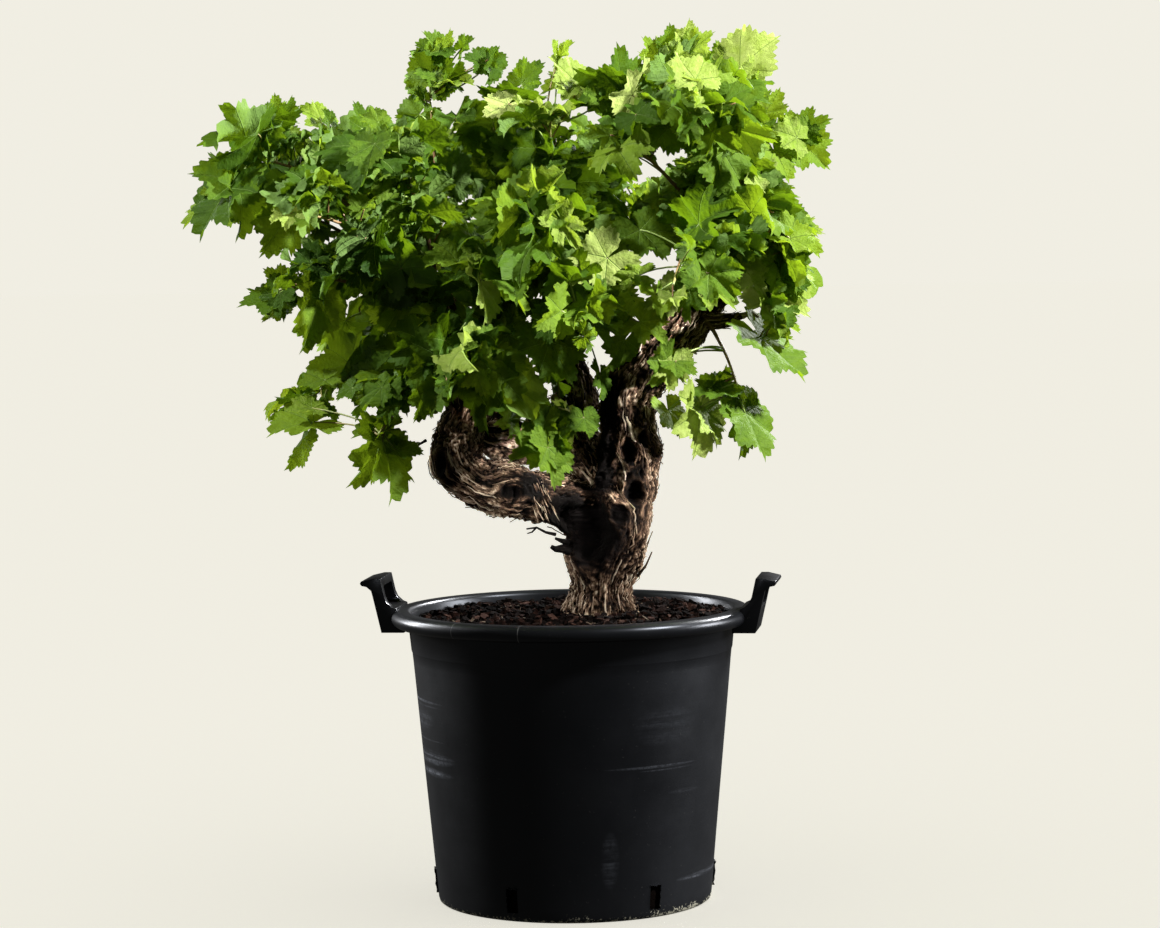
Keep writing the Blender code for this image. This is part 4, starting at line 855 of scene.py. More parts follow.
def smooth_noise(x, y, z, seed):
    """Gradient noise on arrays of places."""
    base = [np.floor(value).astype(np.int64) for value in (x, y, z)]
    part = [value - low for value, low in zip((x, y, z), base)]
    ease = [p ** 3 * (p * (p * 6 - 15) + 10) for p in part]
    total = np.zeros(x.shape)
    for corner in range(8):
        step = (corner & 1, corner >> 1 & 1, corner >> 2)
        place = [low + s for low, s in zip(base, step)]
        weight = np.ones(x.shape)
        slope = np.zeros(x.shape)
        for axis in range(3):
            weight = weight * (ease[axis] if step[axis] else 1 - ease[axis])
            slope = slope + (part[axis] - step[axis]) * lattice(*place, seed * 3 + axis)
        total += weight * slope
    return total * 1.5


def strands(x, y, along, seed):
    """Height of the bark from 0 in a furrow to 1 on a strand, for places on a limb."""
    wave = 0.0046 * smooth_noise(x / 0.020, y / 0.020, along / 0.024, seed)
    wave = wave + 0.0024 * smooth_noise(x / 0.008, y / 0.008, along / 0.009, seed + 6)
    x, y = x + wave, y - wave
    plates = np.abs(smooth_noise(x / 0.0120, y / 0.0120, along / 0.046, seed + 1))
    cords = np.abs(smooth_noise(x / 0.0060, y / 0.0060, along / 0.015, seed + 2))
    threads = np.abs(smooth_noise(x / 0.0032, y / 0.0032, along / 0.007, seed + 3))
    breaks = smooth_noise(x / 0.0075, y / 0.0075, along / 0.0065, seed + 4)
    plates = np.clip(plates * 2.6, 0, 1) ** 0.7
    cords = np.clip(cords * 2.5, 0, 1) ** 0.8
    threads = 1 - np.clip(threads * 2.0, 0, 1)
    whole = 0.40 * plates + 0.34 * cords + 0.26 * threads
    return whole - 0.75 * np.clip(breaks - 0.22, 0, 0.5)


def bark_limb(route, limb_seed, seed, others, step):
    """The surface of one limb on a grid of rings and sides: places, heights, outward directions and flow."""
    coarse = [spline_point(route, index / 60).xyz for index in range(61)]
    length = sum((b - a).length for a, b in zip(coarse, coarse[1:]))
    rings = int(length / step)
    widest = max(radius for _, radius in route)
    sides = int(math.tau * widest / step)
    samples = [spline_point(route, index / (rings - 1)) for index in range(rings)]
    frames = ring_frames([sample.xyz for sample in samples])
    centre = np.array([tuple(sample.xyz) for sample in samples])[:, None, :]
    side = np.array([tuple(pair[0]) for pair in frames])[:, None, :]
    other = np.array([tuple(pair[1]) for pair in frames])[:, None, :]
    radius = np.array([sample.w for sample in samples])[:, None]
    gaps = np.linalg.norm(np.diff(centre[:, 0], axis=0), axis=1)
    along = np.concatenate([[0.0], np.cumsum(gaps)])[:, None] * np.ones((1, sides))
    angle = np.linspace(0, math.tau, sides, endpoint=False)[None, :] * np.ones((rings, 1))
    outward = np.cos(angle)[..., None] * side + np.sin(angle)[..., None] * other
    around = -np.sin(angle)[..., None] * side + np.cos(angle)[..., None] * other
    ahead = np.cross(side, other)
    relief = np.empty((rings, sides))
    for ring in range(rings):
        for column in range(sides):
            place = samples[ring].xyz
            relief[ring, column] = bark_relief(place, along[ring, 0], angle[ring, column], limb_seed)
    spread = (radius - 0.0022) * (1 + relief)
    points = centre + outward * spread[..., None]
    swell = np.zeros(spread.shape)
    for place, size in KNOTS:
        distance = np.linalg.norm(points - np.array(place), axis=2)
        swell += 0.55 * size * np.exp(-((distance / size) ** 2))
    for other_route in others:
        swell += fillet(points, other_route)
    points = points + outward * swell[..., None]

    # The strands part round each hollow knot
    flow = angle + along * 2.4
    dark = np.zeros(spread.shape)
    dip = np.zeros(spread.shape)
    for place, size, depth in HOLLOWS:
        away = points - np.array(place)
        across = (away * around).sum(2)
        up = (away * ahead).sum(2)
        inside = np.linalg.norm(away, axis=2) < 5 * size
        ratio = np.sqrt(across ** 2 + (up / 1.4) ** 2) / size
        shift = -across * np.minimum(1.0, ratio ** -2.0) * inside
        flow = flow + shift / radius
        hole = np.exp(-(ratio ** 4)) * inside
        dip += depth * hole - 0.30 * depth * np.exp(-(((ratio - 1.3) / 0.32) ** 2)) * inside
        # painted shade: the wood inside each hollow is darkened
        dark = np.maximum(dark, hole)
    height = strands(radius * np.cos(flow), radius * np.sin(flow), along, seed)
    patch = smooth_noise(*(points.transpose(2, 0, 1) / 0.03), seed + 9)
    deep = 0.0105 * np.minimum(1.0, radius / 0.032) * (1.0 + 0.5 * patch)
    points = points + outward * (deep * (height - 0.62) - dip)[..., None]
    # painted shade: the bark is darkened round each of these places, as if in shadow
    for place, size in PAINTED_WOOD_SHADE:
        distance = np.linalg.norm(points - np.array(place), axis=2)
        dark = np.maximum(dark, 0.97 * np.exp(-((distance / size) ** 4)))
    # the ridge values, which set the bark's colour, are darkened here by the painted shade
    ridge = (height + 0.16 * patch) * (1 - 0.97 * dark)
    grain = np.stack([radius * np.cos(flow), radius * np.sin(flow), along], 2)
    return points, ridge, grain, (outward, around, flow, dark)


def fillet(points, route):
    """How far a limb's surface swells out towards another limb that it meets."""
    nearest = np.full(points.shape[:2], 9.0)
    for index in range(41):
        sample = spline_point(route, index / 40)
        distance = np.linalg.norm(points - np.array(tuple(sample.xyz)), axis=2) - sample.w
        nearest = np.minimum(nearest, distance)
    return 0.006 * np.exp(-((nearest / 0.013) ** 2))


class Bark:
    """Collects one limb's surface, loose strips and twigs in one mesh."""

    def __init__(self, rng):
        self.points = []
        self.faces = []
        self.ridge = []
        self.grain = []
        self.rng = rng

    def add(self, points, faces, ridge, grain=None):
        first = len(self.points)
        self.points += [tuple(point) for point in points]
        self.faces += [tuple(first + index for index in face) for face in faces]
        self.ridge += list(ridge)
        if grain is None:
            start = self.rng.uniform(0.0, 9.0)
            grain = [(start, 0.003 * (index % 4), 0.004 * (index // 4)) for index in range(len(points))]
        self.grain += list(grain)

    def limb(self, points, ridge, grain):
        rings, sides = ridge.shape
        ends = [points[0].mean(0), points[-1].mean(0)]
        faces = grid_faces(rings, sides)
        count = rings * sides
        faces += cap_faces(0, count - sides, sides, count, count + 1)
        grain = list(grain.reshape(-1, 3)) + [grain[0, 0], grain[-1, 0]]
        self.add(list(points.reshape(-1, 3)) + ends, faces, list(ridge.ravel()) + [0.2, 0.2], grain)

    def strip(self, surface, outward, around, flow, dark):
        """A thin strip of bark that follows the strands and peels off at its ends."""
        rng = self.rng
        rings, sides = flow.shape
        spread = int(rng.integers(6, 26))
        start = int(rng.integers(1, max(2, rings - spread - 1)))
        column = int(rng.integers(0, sides))
        if dark[start, column] > 0.15:
            return
        wanted = flow[start, column]
        width = rng.uniform(0.0006, 0.0017) * (1.0 + (rng.random() < 0.15))
        lifts = rng.uniform(0.0, 0.004) * (rng.random() < 0.5), 0.0005 + 0.0065 * rng.random() ** 2
        tone = rng.uniform(0.45, 1.10)
        count = 8
        points, ridge = [], []
        last = start
        for index in range(count):
            share = index / (count - 1)
            ring = min(rings - 1, start + int(spread * share))
            for row in range(last, ring + 1):
                near = np.arange(column - 4, column + 5) % sides
                off = (flow[row, near] - wanted + math.pi) % math.tau - math.pi
                column = int(near[np.argmin(np.abs(off))])
            last = ring
            if dark[ring, column] > 0.3:
                return
            lift = lifts[0] * (1 - share) ** 2 + lifts[1] * share ** 2 + 0.0007
            out, aside = outward[ring, column], around[ring, column]
            middle = surface[ring, column] + out * lift
            half = width * (0.25 + 0.75 * math.sin(math.pi * min(0.95, share + 0.08)))
            points += [middle - aside * half, middle + out * 0.0007, middle + aside * half, middle - out * 0.0008]
            # painted shade: the underside of each strip is darker than its top and edges
            ridge += [tone * 0.8, tone, tone * 0.9, tone * 0.3]
        faces = grid_faces(count, 4)
        faces += [(3, 2, 1, 0), tuple(4 * (count - 1) + index for index in range(4))]
        self.add(points, faces, ridge)

    def splinters(self, middle, way, spread, count):
        """A frayed bundle of stiff fibres that lie side by side."""
        rng = self.rng
        aside = way.cross(Vector((0.0, -1.0, 0.0))).normalized()
        for _ in range(count):
            place = middle + aside * rng.uniform(-spread, spread) + way * rng.uniform(-0.030, 0.026)
            place.y += rng.uniform(-0.004, 0.006)
            turn = (way + Vector(rng.normal(0.0, 0.16, 3))).normalized()
            reach = turn * rng.uniform(0.005, 0.014)
            half = turn.cross(Vector((0.0, -1.0, 0.0))).normalized() * rng.uniform(0.0004, 0.0010)
            lift = Vector((0.0, -0.0009, 0.0))
            points = [place - reach, place + half, place + lift, place - half, place - lift, place + reach]
            faces = [(0, i, i % 4 + 1) for i in (1, 2, 3, 4)] + [(5, i % 4 + 1, i) for i in (1, 2, 3, 4)]
            tone = rng.uniform(0.55, 1.05)
            self.add(points, faces, [tone] * 6)

    def twig(self, path, radii, tone):
        """A dead twig or stub: a bent, tapered tube."""
        centres = [Vector(point) for point in path]
        points, sides = [], 7
        for (side, other), place, radius in zip(ring_frames(centres), centres, radii):
            for index in range(sides):
                angle = index * math.tau / sides
                grow = radius * (1.0 + self.rng.normal(0.0, 0.12))
                points.append(place + grow * (math.cos(angle) * side + math.sin(angle) * other))
        count = len(points)
        faces = grid_faces(len(path), sides) + cap_faces(0, count - sides, sides, count, count + 1)
        self.add(points + [centres[0], centres[-1]], faces, [tone] * (count + 2))


def make_wood(bark):
    for number, (name, route, limb_seed, step, strips) in enumerate(LIMBS):
        rng = np.random.default_rng(100 + number)
        others = [row[1] for row in LIMBS if row[0] != name]
        made = Bark(rng)
        points, ridge, grain, ways = bark_limb(route, limb_seed, 20 * number + 5, others, step)
        made.limb(points, ridge, grain)
        for _ in range(strips):
            made.strip(points, *ways)
        if name in SIDE_GROWTHS:
            points, ridge, grain, ways = bark_limb(SIDE_GROWTHS[name], 4.4, 61, [], 0.0013)
            made.limb(points, ridge, grain)
            for _ in range(40):
                made.strip(points, *ways)
        for carrier, middle, way, spread, count in SPLINTERS:
            if carrier == name:
                made.splinters(Vector(middle), Vector(way).normalized(), spread, count)
        for carrier, path, radius, tone in TWIGS:
            if carrier == name:
                made.twig(path, [radius * (1 - 0.6 * i / (len(path) - 1)) for i in range(len(path))], tone)
        attributes = {"ridge": made.ridge, "grain": made.grain}
        piece = mesh_object(name + "_bark", made.points, made.faces, [bark], attributes=attributes)
        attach(piece, "root")
        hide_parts(name)


# Container
def wall_radius(height):
    share = height / (POT_HEIGHT - BEAD_HEIGHT)
    return BASE_RADIUS + (NECK_RADIUS - BASE_RADIUS) * share


def arc(centre, radius, start, end, count):
    angles = [start + (end - start) * step / (count - 1) for step in range(count)]
    return [(centre[0] + radius * math.cos(a), centre[1] + radius * math.sin(a)) for a in angles]


def pot_profile():
    """Outside top to bottom, then the inside bottom to top, with the dust that settles on each point."""
    round_radius = BEAD_HEIGHT / 2
    middle = POT_HEIGHT - round_radius
    under = POT_HEIGHT - BEAD_HEIGHT
    band = under - BAND_HEIGHT
    inner_edge = RIM_RADIUS - BEAD_WIDTH
    rows = [((inner_edge, POT_HEIGHT - 0.006), 0.8), ((inner_edge + 0.001, POT_HEIGHT - 0.003), 0.9)]
    rows += [((inner_edge + 0.0035, POT_HEIGHT - 0.0006), 1.0), ((inner_edge + 0.006, POT_HEIGHT), 1.0)]
    bead = arc((RIM_RADIUS - round_radius, middle), round_radius, math.pi / 2, -math.pi / 2, 19)
    rows += [(point, 0.9 - 0.5 * index / 18) for index, point in enumerate(bead)]
    rows += [((wall_radius(under) + BAND_PROUD + 0.002, under - 0.0004), 0.2)]
    rows += [((wall_radius(under) + BAND_PROUD, under - 0.002), 0.2)]
    rows += [((wall_radius(band) + BAND_PROUD, band + 0.0008), 0.35)]
    rows += [((wall_radius(band) + BAND_PROUD * 0.6, band - 0.0006), 0.4)]
    rows += [((wall_radius(band), band - 0.002), 0.3)]
    steps = 26
    for step in range(1, steps):
        height = (band - 0.002) * (1 - step / steps) + 0.006 * step / steps
        rows.append(((wall_radius(height), height), 0.25 + 0.35 * (step / steps) ** 6))
    rows += [((wall_radius(0.006), 0.006), 0.7), ((BASE_RADIUS - 0.0006, 0.0018), 0.8)]
    rows += [((BASE_RADIUS - 0.003, 0.0), 0.5), ((BASE_RADIUS - 0.012, 0.0), 0.3), ((0.0, 0.0), 0.3)]
    foot = wall_radius(FLOOR_THICKNESS) - WALL
    rows += [((0.0, FLOOR_THICKNESS), 0.3), ((foot, FLOOR_THICKNESS), 0.3)]
    rows += [((foot + (inner_edge - foot) * 0.94, POT_HEIGHT * 0.94), 0.55)]
    return rows


def make_pot(plastic):
    sides = 192
    rows = pot_profile()
    points, dust = [], []
    starts = []
    for (radius, height), settled in rows:
        starts.append(len(points))
        count = 1 if radius == 0.0 else sides
        for step in range(count):
            angle = step * math.tau / sides
            wobble = 0.0
            if radius > 0.1:
                wobble = 0.0007 * noise.noise(Vector((math.cos(angle) * 1.3, math.sin(angle) * 1.3, height * 5.0)))
                wobble -= 0.0009
            spread = radius + wobble
            points.append((spread * math.cos(angle), spread * math.sin(angle), height))
            dust.append(settled)
    faces = []
    total = len(rows)
    for index in range(total):
        here, there = index, (index + 1) % total
        low, high = starts[here], starts[there]
        low_point, high_point = rows[here][0][0] == 0.0, rows[there][0][0] == 0.0
        if low_point and high_point:
            continue
        for step in range(sides):
            after = (step + 1) % sides
            if low_point:
                faces.append((low, high + after, high + step))
            elif high_point:
                faces.append((low + step, low + after, high))
            else:
                faces.append((low + step, low + after, high + after, high + step))
    pot = mesh_object("pot_shell", points, [face[::-1] for face in faces], [plastic], attributes={"dust": dust})
    work = bmesh.new()
    work.from_mesh(pot.data)
    bmesh.ops.recalc_face_normals(work, faces=work.faces)
    work.to_mesh(pot.data)
    work.free()
    cut_slots(pot)
    add_burrs(pot)
    pot.data.set_sharp_from_angle(angle=math.radians(50))
    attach(pot, "root")
    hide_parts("pot")


def cut_slots(pot):
    height = SLOT_BOTTOM + SLOT_HEIGHT / 2
    work = bmesh.new()
    for number in range(SLOT_COUNT):
        turn = -math.pi / 2 + SLOT_TURN + number * math.tau / SLOT_COUNT
        centre = (wall_radius(height), 0.0, height)
        size = (0.05, SLOT_WIDTH, SLOT_HEIGHT, 1.0)
        place = Matrix.Rotation(turn, 4, "Z") @ Matrix.Translation(centre) @ Matrix.Diagonal(size)
        bmesh.ops.create_cube(work, size=1.0, matrix=place)
    edges = [e for e in work.edges if abs((e.verts[0].co - e.verts[1].co).length - 0.05) < 0.0001]
    bmesh.ops.bevel(work, geom=edges, offset=0.0015, segments=3, affect="EDGES", profile=0.5)
    mesh = bpy.data.meshes.new("slots")
    work.to_mesh(mesh)
    work.free()
    cutter = bpy.data.objects.new("slots", mesh)
    bpy.context.scene.collection.objects.link(cutter)
    combine(pot, cutter, "DIFFERENCE")


def add_burrs(pot):
    """Torn slivers of plastic that stand up along one side of each drain slot, and a curl over its top."""
    rng = np.random.default_rng(5)
    work = bmesh.new()
    work.from_mesh(pot.data)
    for number in range(SLOT_COUNT):
        turn = Matrix.Rotation(-math.pi / 2 + SLOT_TURN + number * math.tau / SLOT_COUNT, 4, "Z")
        side = SLOT_WIDTH / 2 * (1 if number % 2 else -1)
        upright = []
        for step in range(9):
            height = SLOT_BOTTOM + SLOT_HEIGHT * step / 8
            upright.append((wall_radius(height), side + rng.uniform(-0.0006, 0.0006), height, rng.uniform(0.0006, 0.0034)))
        sliver(work, turn, upright, (0.0, 0.0005, 0.0))
        over = []
        for step in range(9):
            height = SLOT_BOTTOM + SLOT_HEIGHT + 0.0008 * math.sin(step * 1.3)
            over.append((wall_radius(height), SLOT_WIDTH * (step / 8 - 0.5), height, rng.uniform(0.0010, 0.0022)))
        sliver(work, turn, over, (0.0, 0.0, 0.0006))
    work.to_mesh(pot.data)
    work.free()


def sliver(work, turn, rows, half):
    """A thin blade that stands out of the wall along a row of points, by the reach given for each."""
    half = Vector(half)
    rings = []
    for radius, across, height, reach in rows:
        root, edge = Vector((radius - 0.0012, across, height)), Vector((radius + reach, across, height))
        corners = (root - half, edge - 0.5 * half, edge + 0.5 * half, root + half)
        rings.append([work.verts.new(turn @ corner) for corner in corners])
    made = [work.faces.new(rings[0]), work.faces.new(rings[-1][::-1])]
    for low, high in zip(rings, rings[1:]):
        made += [work.faces.new((low[i], high[i], high[(i + 1) % 4], low[(i + 1) % 4])) for i in range(4)]
    bmesh.ops.recalc_face_normals(work, faces=made)


def combine(target, other, operation):
    step = target.modifiers.new(operation.lower(), "BOOLEAN")
    step.operation = operation
    step.object = other
    freeze(target)
    bpy.data.objects.remove(other)


def freeze(target):
    graph = bpy.context.evaluated_depsgraph_get()
    graph.update()
    mesh = bpy.data.meshes.new_from_object(target.evaluated_get(graph))
    target.modifiers.clear()
    target.data = mesh


def handle_profile():
    """A handle's section as radius and height from the rim's top."""
    return [
        (0.2270, -0.031),
        (0.2590, -0.031),
        (0.2700, 0.017),
        (0.2725, 0.027),
        (0.2790, 0.0325),
        (0.2860, 0.0340),
        (0.2880, 0.0370),
        (0.2870, 0.0400),
        (0.2700, 0.044),
        (0.2600, 0.044),
        (0.2545, 0.019),
        (0.2510, 0.011),
        (0.2440, 0.0045),
        (0.2380, 0.0020),
        (0.2380, -0.012),
        (0.2270, -0.012),
    ]


def make_handle(name, turn, plastic):
    work = bmesh.new()
    outline = handle_profile()
    corners = [work.verts.new((r, -HANDLE_WIDTH / 2, POT_HEIGHT + h)) for r, h in outline]
    face = work.faces.new(corners)
    moved = bmesh.ops.extrude_face_region(work, geom=[face])["geom"]
    verts = [v for v in moved if isinstance(v, bmesh.types.BMVert)]
    bmesh.ops.translate(work, verts=verts, vec=(0.0, HANDLE_WIDTH, 0.0))
    bmesh.ops.recalc_face_normals(work, faces=work.faces)
    mesh = bpy.data.meshes.new(name)
    work.to_mesh(mesh)
    work.free()
    handle = bpy.data.objects.new(name, mesh)
    bpy.context.scene.collection.objects.link(handle)
    gap = bmesh.new()
    size = (0.12, HANDLE_WIDTH - 2 * LEG_WIDTH, GAP_TOP - GAP_BOTTOM, 1.0)
    centre = (RIM_RADIUS, 0.0, POT_HEIGHT + (GAP_TOP + GAP_BOTTOM) / 2)
    bmesh.ops.create_cube(gap, size=1.0, matrix=Matrix.Translation(centre) @ Matrix.Diagonal(size))
    edges = [e for e in gap.edges if abs((e.verts[0].co - e.verts[1].co).length - 0.12) < 0.0001]
    bmesh.ops.bevel(gap, geom=edges, offset=0.005, segments=5, affect="EDGES", profile=0.5)
    mesh = bpy.data.meshes.new("gap")
    gap.to_mesh(mesh)
    gap.free()
    cutter = bpy.data.objects.new("gap", mesh)
    bpy.context.scene.collection.objects.link(cutter)
    combine(handle, cutter, "DIFFERENCE")
    soft = handle.modifiers.new("soft", "BEVEL")
    soft.width = 0.0011
    soft.segments = 2
    soft.limit_method = "ANGLE"
    soft.angle_limit = math.radians(30)
    freeze(handle)
    handle.data.transform(Matrix.Rotation(turn, 4, "Z"))
    handle.data.materials.clear()
    handle.data.materials.append(plastic)
    handle.data.polygons.foreach_set("use_smooth", [True] * len(handle.data.polygons))
    handle.data.set_sharp_from_angle(angle=math.radians(40))
    layer = handle.data.attributes.new("dust", "FLOAT", "POINT")
    layer.data.foreach_set("value", [0.15] * len(handle.data.vertices))
    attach(handle, "root")
    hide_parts(name.replace("_ear", ""))


# Soil
def soil_height(x, y):
    from_trunk = math.hypot(x - TRUNK[2][0][0], y)
    mound = 0.005 * math.exp(-((from_trunk / 0.10) ** 2))
    rough = 0.0045 * noise.noise(Vector((x * 24.0, y * 24.0, 2.0)))
    rough += 0.0022 * noise.noise(Vector((x * 95.0, y * 95.0, 5.0)))
    rough += 0.0014 * noise.noise(Vector((x * 260.0, y * 260.0, 9.0)))
    return SOIL_TOP + SOIL_SLOPE * x + mound + rough


def make_soil(material_soil):
    rng = np.random.default_rng(7)
    sides, rings = 220, 90
    edge = 0.2205
    points, chip = [], []
    for ring in range(rings):
        radius = edge * (ring + 1) / rings
        for step in range(sides):
            angle = step * math.tau / sides
            x, y = radius * math.cos(angle), radius * math.sin(angle)
            points.append((x, y, soil_height(x, y)))
            chip.append(0.20)
    faces = grid_faces(rings, sides)
    middle = len(points)
    points.append((0.0, 0.0, soil_height(0.0, 0.0)))
    chip.append(0.2)
    faces += [((step + 1) % sides, middle, step) for step in range(sides)]
    bottom = FLOOR_THICKNESS + 0.0004
    foot = wall_radius(bottom) - WALL - 0.0006
    first = len(points)
    for step in range(sides):
        angle = step * math.tau / sides
        points.append((foot * math.cos(angle), foot * math.sin(angle), bottom))
        chip.append(0.1)
    points.append((0.0, 0.0, bottom))
    chip.append(0.1)
    rim = (rings - 1) * sides
    for step in range(sides):
        after = (step + 1) % sides
        faces.append((rim + step, first + step, first + after, rim + after))
        faces.append((first + after, first + step, first + sides))
    for number in range(2600):
        add_chip(points, faces, chip, rng)
    points = np.array(points)
    piece = mesh_object("soil_bed", points, faces, [material_soil], smooth=False, attributes={"chip": chip})
    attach(piece, "root")
    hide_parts("soil")


def add_chip(points, faces, chip, rng):
    """A crumb, a bark chip or a pale fibre, half sunk in the soil."""
    radius = 0.212 * math.sqrt(rng.random())
    angle = rng.uniform(0.0, math.tau)
    x, y = radius * math.cos(angle), radius * math.sin(angle)
    kind = rng.random()
    grow = 1.0 + 1.6 * rng.random() ** 3
    long, wide, thick = (grow * rng.uniform(low, high) for low, high in ((0.0014, 0.0038), (0.0012, 0.003), (0.001, 0.002)))
    tone = 0.05 + 0.65 * rng.random() ** 2
    if kind > 0.90:
        long, wide, thick = rng.uniform(0.005, 0.011), rng.uniform(0.002, 0.004), rng.uniform(0.001, 0.002)
        tone = rng.uniform(0.3, 0.8)
    if kind > 0.975:
        long, wide, thick = rng.uniform(0.008, 0.020), 0.0007, 0.0006
        tone = rng.uniform(0.8, 1.05)
    turn = Matrix.Rotation(rng.uniform(0.0, math.tau), 3, "Z")
    turn = turn @ Matrix.Rotation(rng.normal(0.0, 0.35), 3, "X") @ Matrix.Rotation(rng.normal(0.0, 0.3), 3, "Y")
    centre = Vector((x, y, soil_height(x, y) + thick * 0.5))
    first = len(points)
    for dz in (-1, 1):
        for dx, dy in ((-1, -0.6), (0.1, -1), (1, -0.5), (0.9, 0.6), (-0.2, 1), (-1, 0.5)):
            jitter = 1.0 + rng.normal(0.0, 0.12)
            corner = Vector((dx * long, dy * wide, dz * thick)) * jitter
            points.append(tuple(centre + turn @ corner))
            chip.append(tone)
    faces += [(first + i, first + (i + 1) % 6, first + 6 + (i + 1) % 6, first + 6 + i) for i in range(6)]
    faces.append(tuple(first + i for i in (5, 4, 3, 2, 1, 0)))
    faces.append(tuple(first + 6 + i for i in range(6)))


# Foliage
def outline_reach(degrees, lobing):
    """Reach of a leaf's outline at an angle from its tip, without teeth."""
    degrees = abs(degrees)
    for (low, reach, cut), (high, next_reach, next_cut) in zip(OUTLINE, OUTLINE[1:]):
        if degrees <= high:
            share = (degrees - low) / (high - low)
            start, end = reach - cut * lobing, next_reach - next_cut * lobing
            return start + (end - start) * share
    return OUTLINE[-1][1]


def leaf_template(lobing, tooth):
    """Flat leaf of length 1: points (x, y), their share of the way out, their angle, and the faces."""
    xs, ys, outs, angles = [0.0], [0.0], [0.0], [0.0]
    faces = []
    last_start, last_steps = 0, 0
    for ring, steps in RINGS:
        start = len(xs)
        for index in range(TEETH * steps + 1):
            place = index / steps
            side = -1 if place < TEETH / 2 else 1
            share, depth = TOOTH[round((place % 1.0) * len(TOOTH)) % len(TOOTH)]
            if side < 0:
                share, depth = TOOTH[round((-place % 1.0) * len(TOOTH)) % len(TOOTH)]
                share = -share
            nearest = round(place - 0.0001 * side) if depth == 0 else (math.ceil(place) if side < 0 else math.floor(place))
            degrees = -HALF_SPREAD + 2 * HALF_SPREAD * (nearest + share) / TEETH
            reach = ring * outline_reach(degrees, lobing * ring) * (1.0 - depth * tooth * ring ** 5)
            turn = math.radians(degrees)
            xs.append(LEAF_WIDTH * reach * math.sin(turn))
            ys.append(reach * math.cos(turn))
            outs.append(ring)
            angles.append(turn)
        count = len(xs) - start - 1
        if last_steps == 0:
            faces += [(0, start + i + 1, start + i) for i in range(count)]
        elif last_steps == steps:
            for i in range(count):
                faces.append((last_start + i, last_start + i + 1, start + i + 1, start + i))
        else:
            for i in range(TEETH):
                here, there = last_start + i, last_start + i + 1
                first = start + 3 * i
                faces.append((here, first + 1, first))
                faces.append((here, there, first + 2, first + 1))
                faces.append((there, first + 3, first + 2))
        last_start, last_steps = start, steps
    return np.array(xs), np.array(ys), np.array(outs), np.array(angles), faces


TEMPLATES = [leaf_template(*kind) for kind in LEAF_KINDS]


def vein_distance(x, y):
    nearest = np.full(x.shape, 9.0)
    for angle in VEIN_ANGLES:
        turn = math.radians(angle)
        ahead = x * math.sin(turn) + y * math.cos(turn)
        aside = np.abs(x * math.cos(turn) - y * math.sin(turn))
        nearest = np.minimum(nearest, np.where(ahead > 0, aside, 9.0))
    return np.minimum(nearest, 0.4)


class Foliage:
    """Collects one shoot's leaves, petioles and cane in one mesh."""

    def __init__(self):
        self.points = []
        self.faces = []
        self.slots = []
        self.blade = []
        self.age = []
        self.total = 0

    def add(self, points, faces, slot, blade, age):
        start = self.total
        self.points.append(points)
        self.faces.extend([tuple(i + start for i in face) for face in faces])
        self.slots.extend([slot] * len(faces))
        self.blade.append(blade)
        self.age.append(age)
        self.total += len(points)

    def leaf(self, base, axis, normal, length, tint_and_painted_light, rng, lobing=None, calm=1.0):
        pick = rng.choice(len(TEMPLATES), p=(0.30, 0.36, 0.24, 0.10)) if lobing is None else lobing
        x, y, out, angle, faces = TEMPLATES[pick]
        across = axis.cross(normal).normalized()
        normal = across.cross(axis).normalized()
        bend = rng.uniform(0.1, 1.7) * calm
        chord = bend / 2
        flat_axis, flat_normal = axis, normal
        axis = flat_axis * math.cos(chord) + flat_normal * math.sin(chord)
        normal = flat_normal * math.cos(chord) - flat_axis * math.sin(chord)
        length *= chord / math.sin(chord)
        fold = rng.uniform(-0.10, 0.55) * calm
        ripple = rng.uniform(0.04, 0.13)
        phase = rng.uniform(0.0, math.tau, 4)
        z = fold * np.abs(x) * 0.7
        z += 0.17 * np.minimum(vein_distance(x, y), 0.16) / 0.16 * out
        z += ripple * out ** 2 * np.sin(3 * angle + phase[0])
        z += 0.7 * ripple * out ** 3 * np.sin(7 * angle + phase[1])
        z += 0.020 * out ** 3 * np.sin(15 * angle + phase[2])
        z *= 0.4 + 0.6 * calm
        cup = rng.normal(0.35, 0.65) * calm
        twist = rng.normal(0.0, 0.35) * calm
        curl = cup * x + twist * y
        drop = -(1 - np.cos(bend * y)) / bend - 0.5 * x * curl
        frame_y = np.sin(bend * y)
        frame_z = np.cos(bend * y)
        y_bent = frame_y / bend
        local = np.stack([x * (1 - 0.25 * abs(fold)), y_bent + z * frame_y, drop + z * frame_z], 1) * length
        basis = np.array([tuple(across), tuple(axis), tuple(normal)])
        points = local @ basis + np.array(tuple(base))
        blade = np.stack([x, y, np.full(x.shape, tint_and_painted_light)], 1)
        self.add(points, faces, 0, blade, np.ones(len(x)))

    def tube(self, path, radii, sides, ages):
        centres = [Vector(p) for p in path]
        frames = ring_frames(centres)
        points = []
        for (side, other), centre, radius in zip(frames, centres, radii):
            for step in range(sides):
                angle = step * math.tau / sides
                points.append(tuple(centre + radius * (math.cos(angle) * side + math.sin(angle) * other)))
        low, high = len(points), len(points) + 1
        points += [tuple(centres[0]), tuple(centres[-1])]
        faces = grid_faces(len(centres), sides)
        faces += cap_faces(0, (len(centres) - 1) * sides, sides, low, high)
        age = np.repeat(np.array(ages), sides)
        age = np.concatenate([age, [ages[0], ages[-1]]])
        self.add(np.array(points), faces, 1, np.zeros((len(points), 3)), age)

    def finish(self, name, materials):
        points = np.concatenate(self.points)
        attributes = {"blade": np.concatenate(self.blade), "age": np.concatenate(self.age)}
        return mesh_object(name, points, self.faces, materials, self.slots, attributes=attributes)


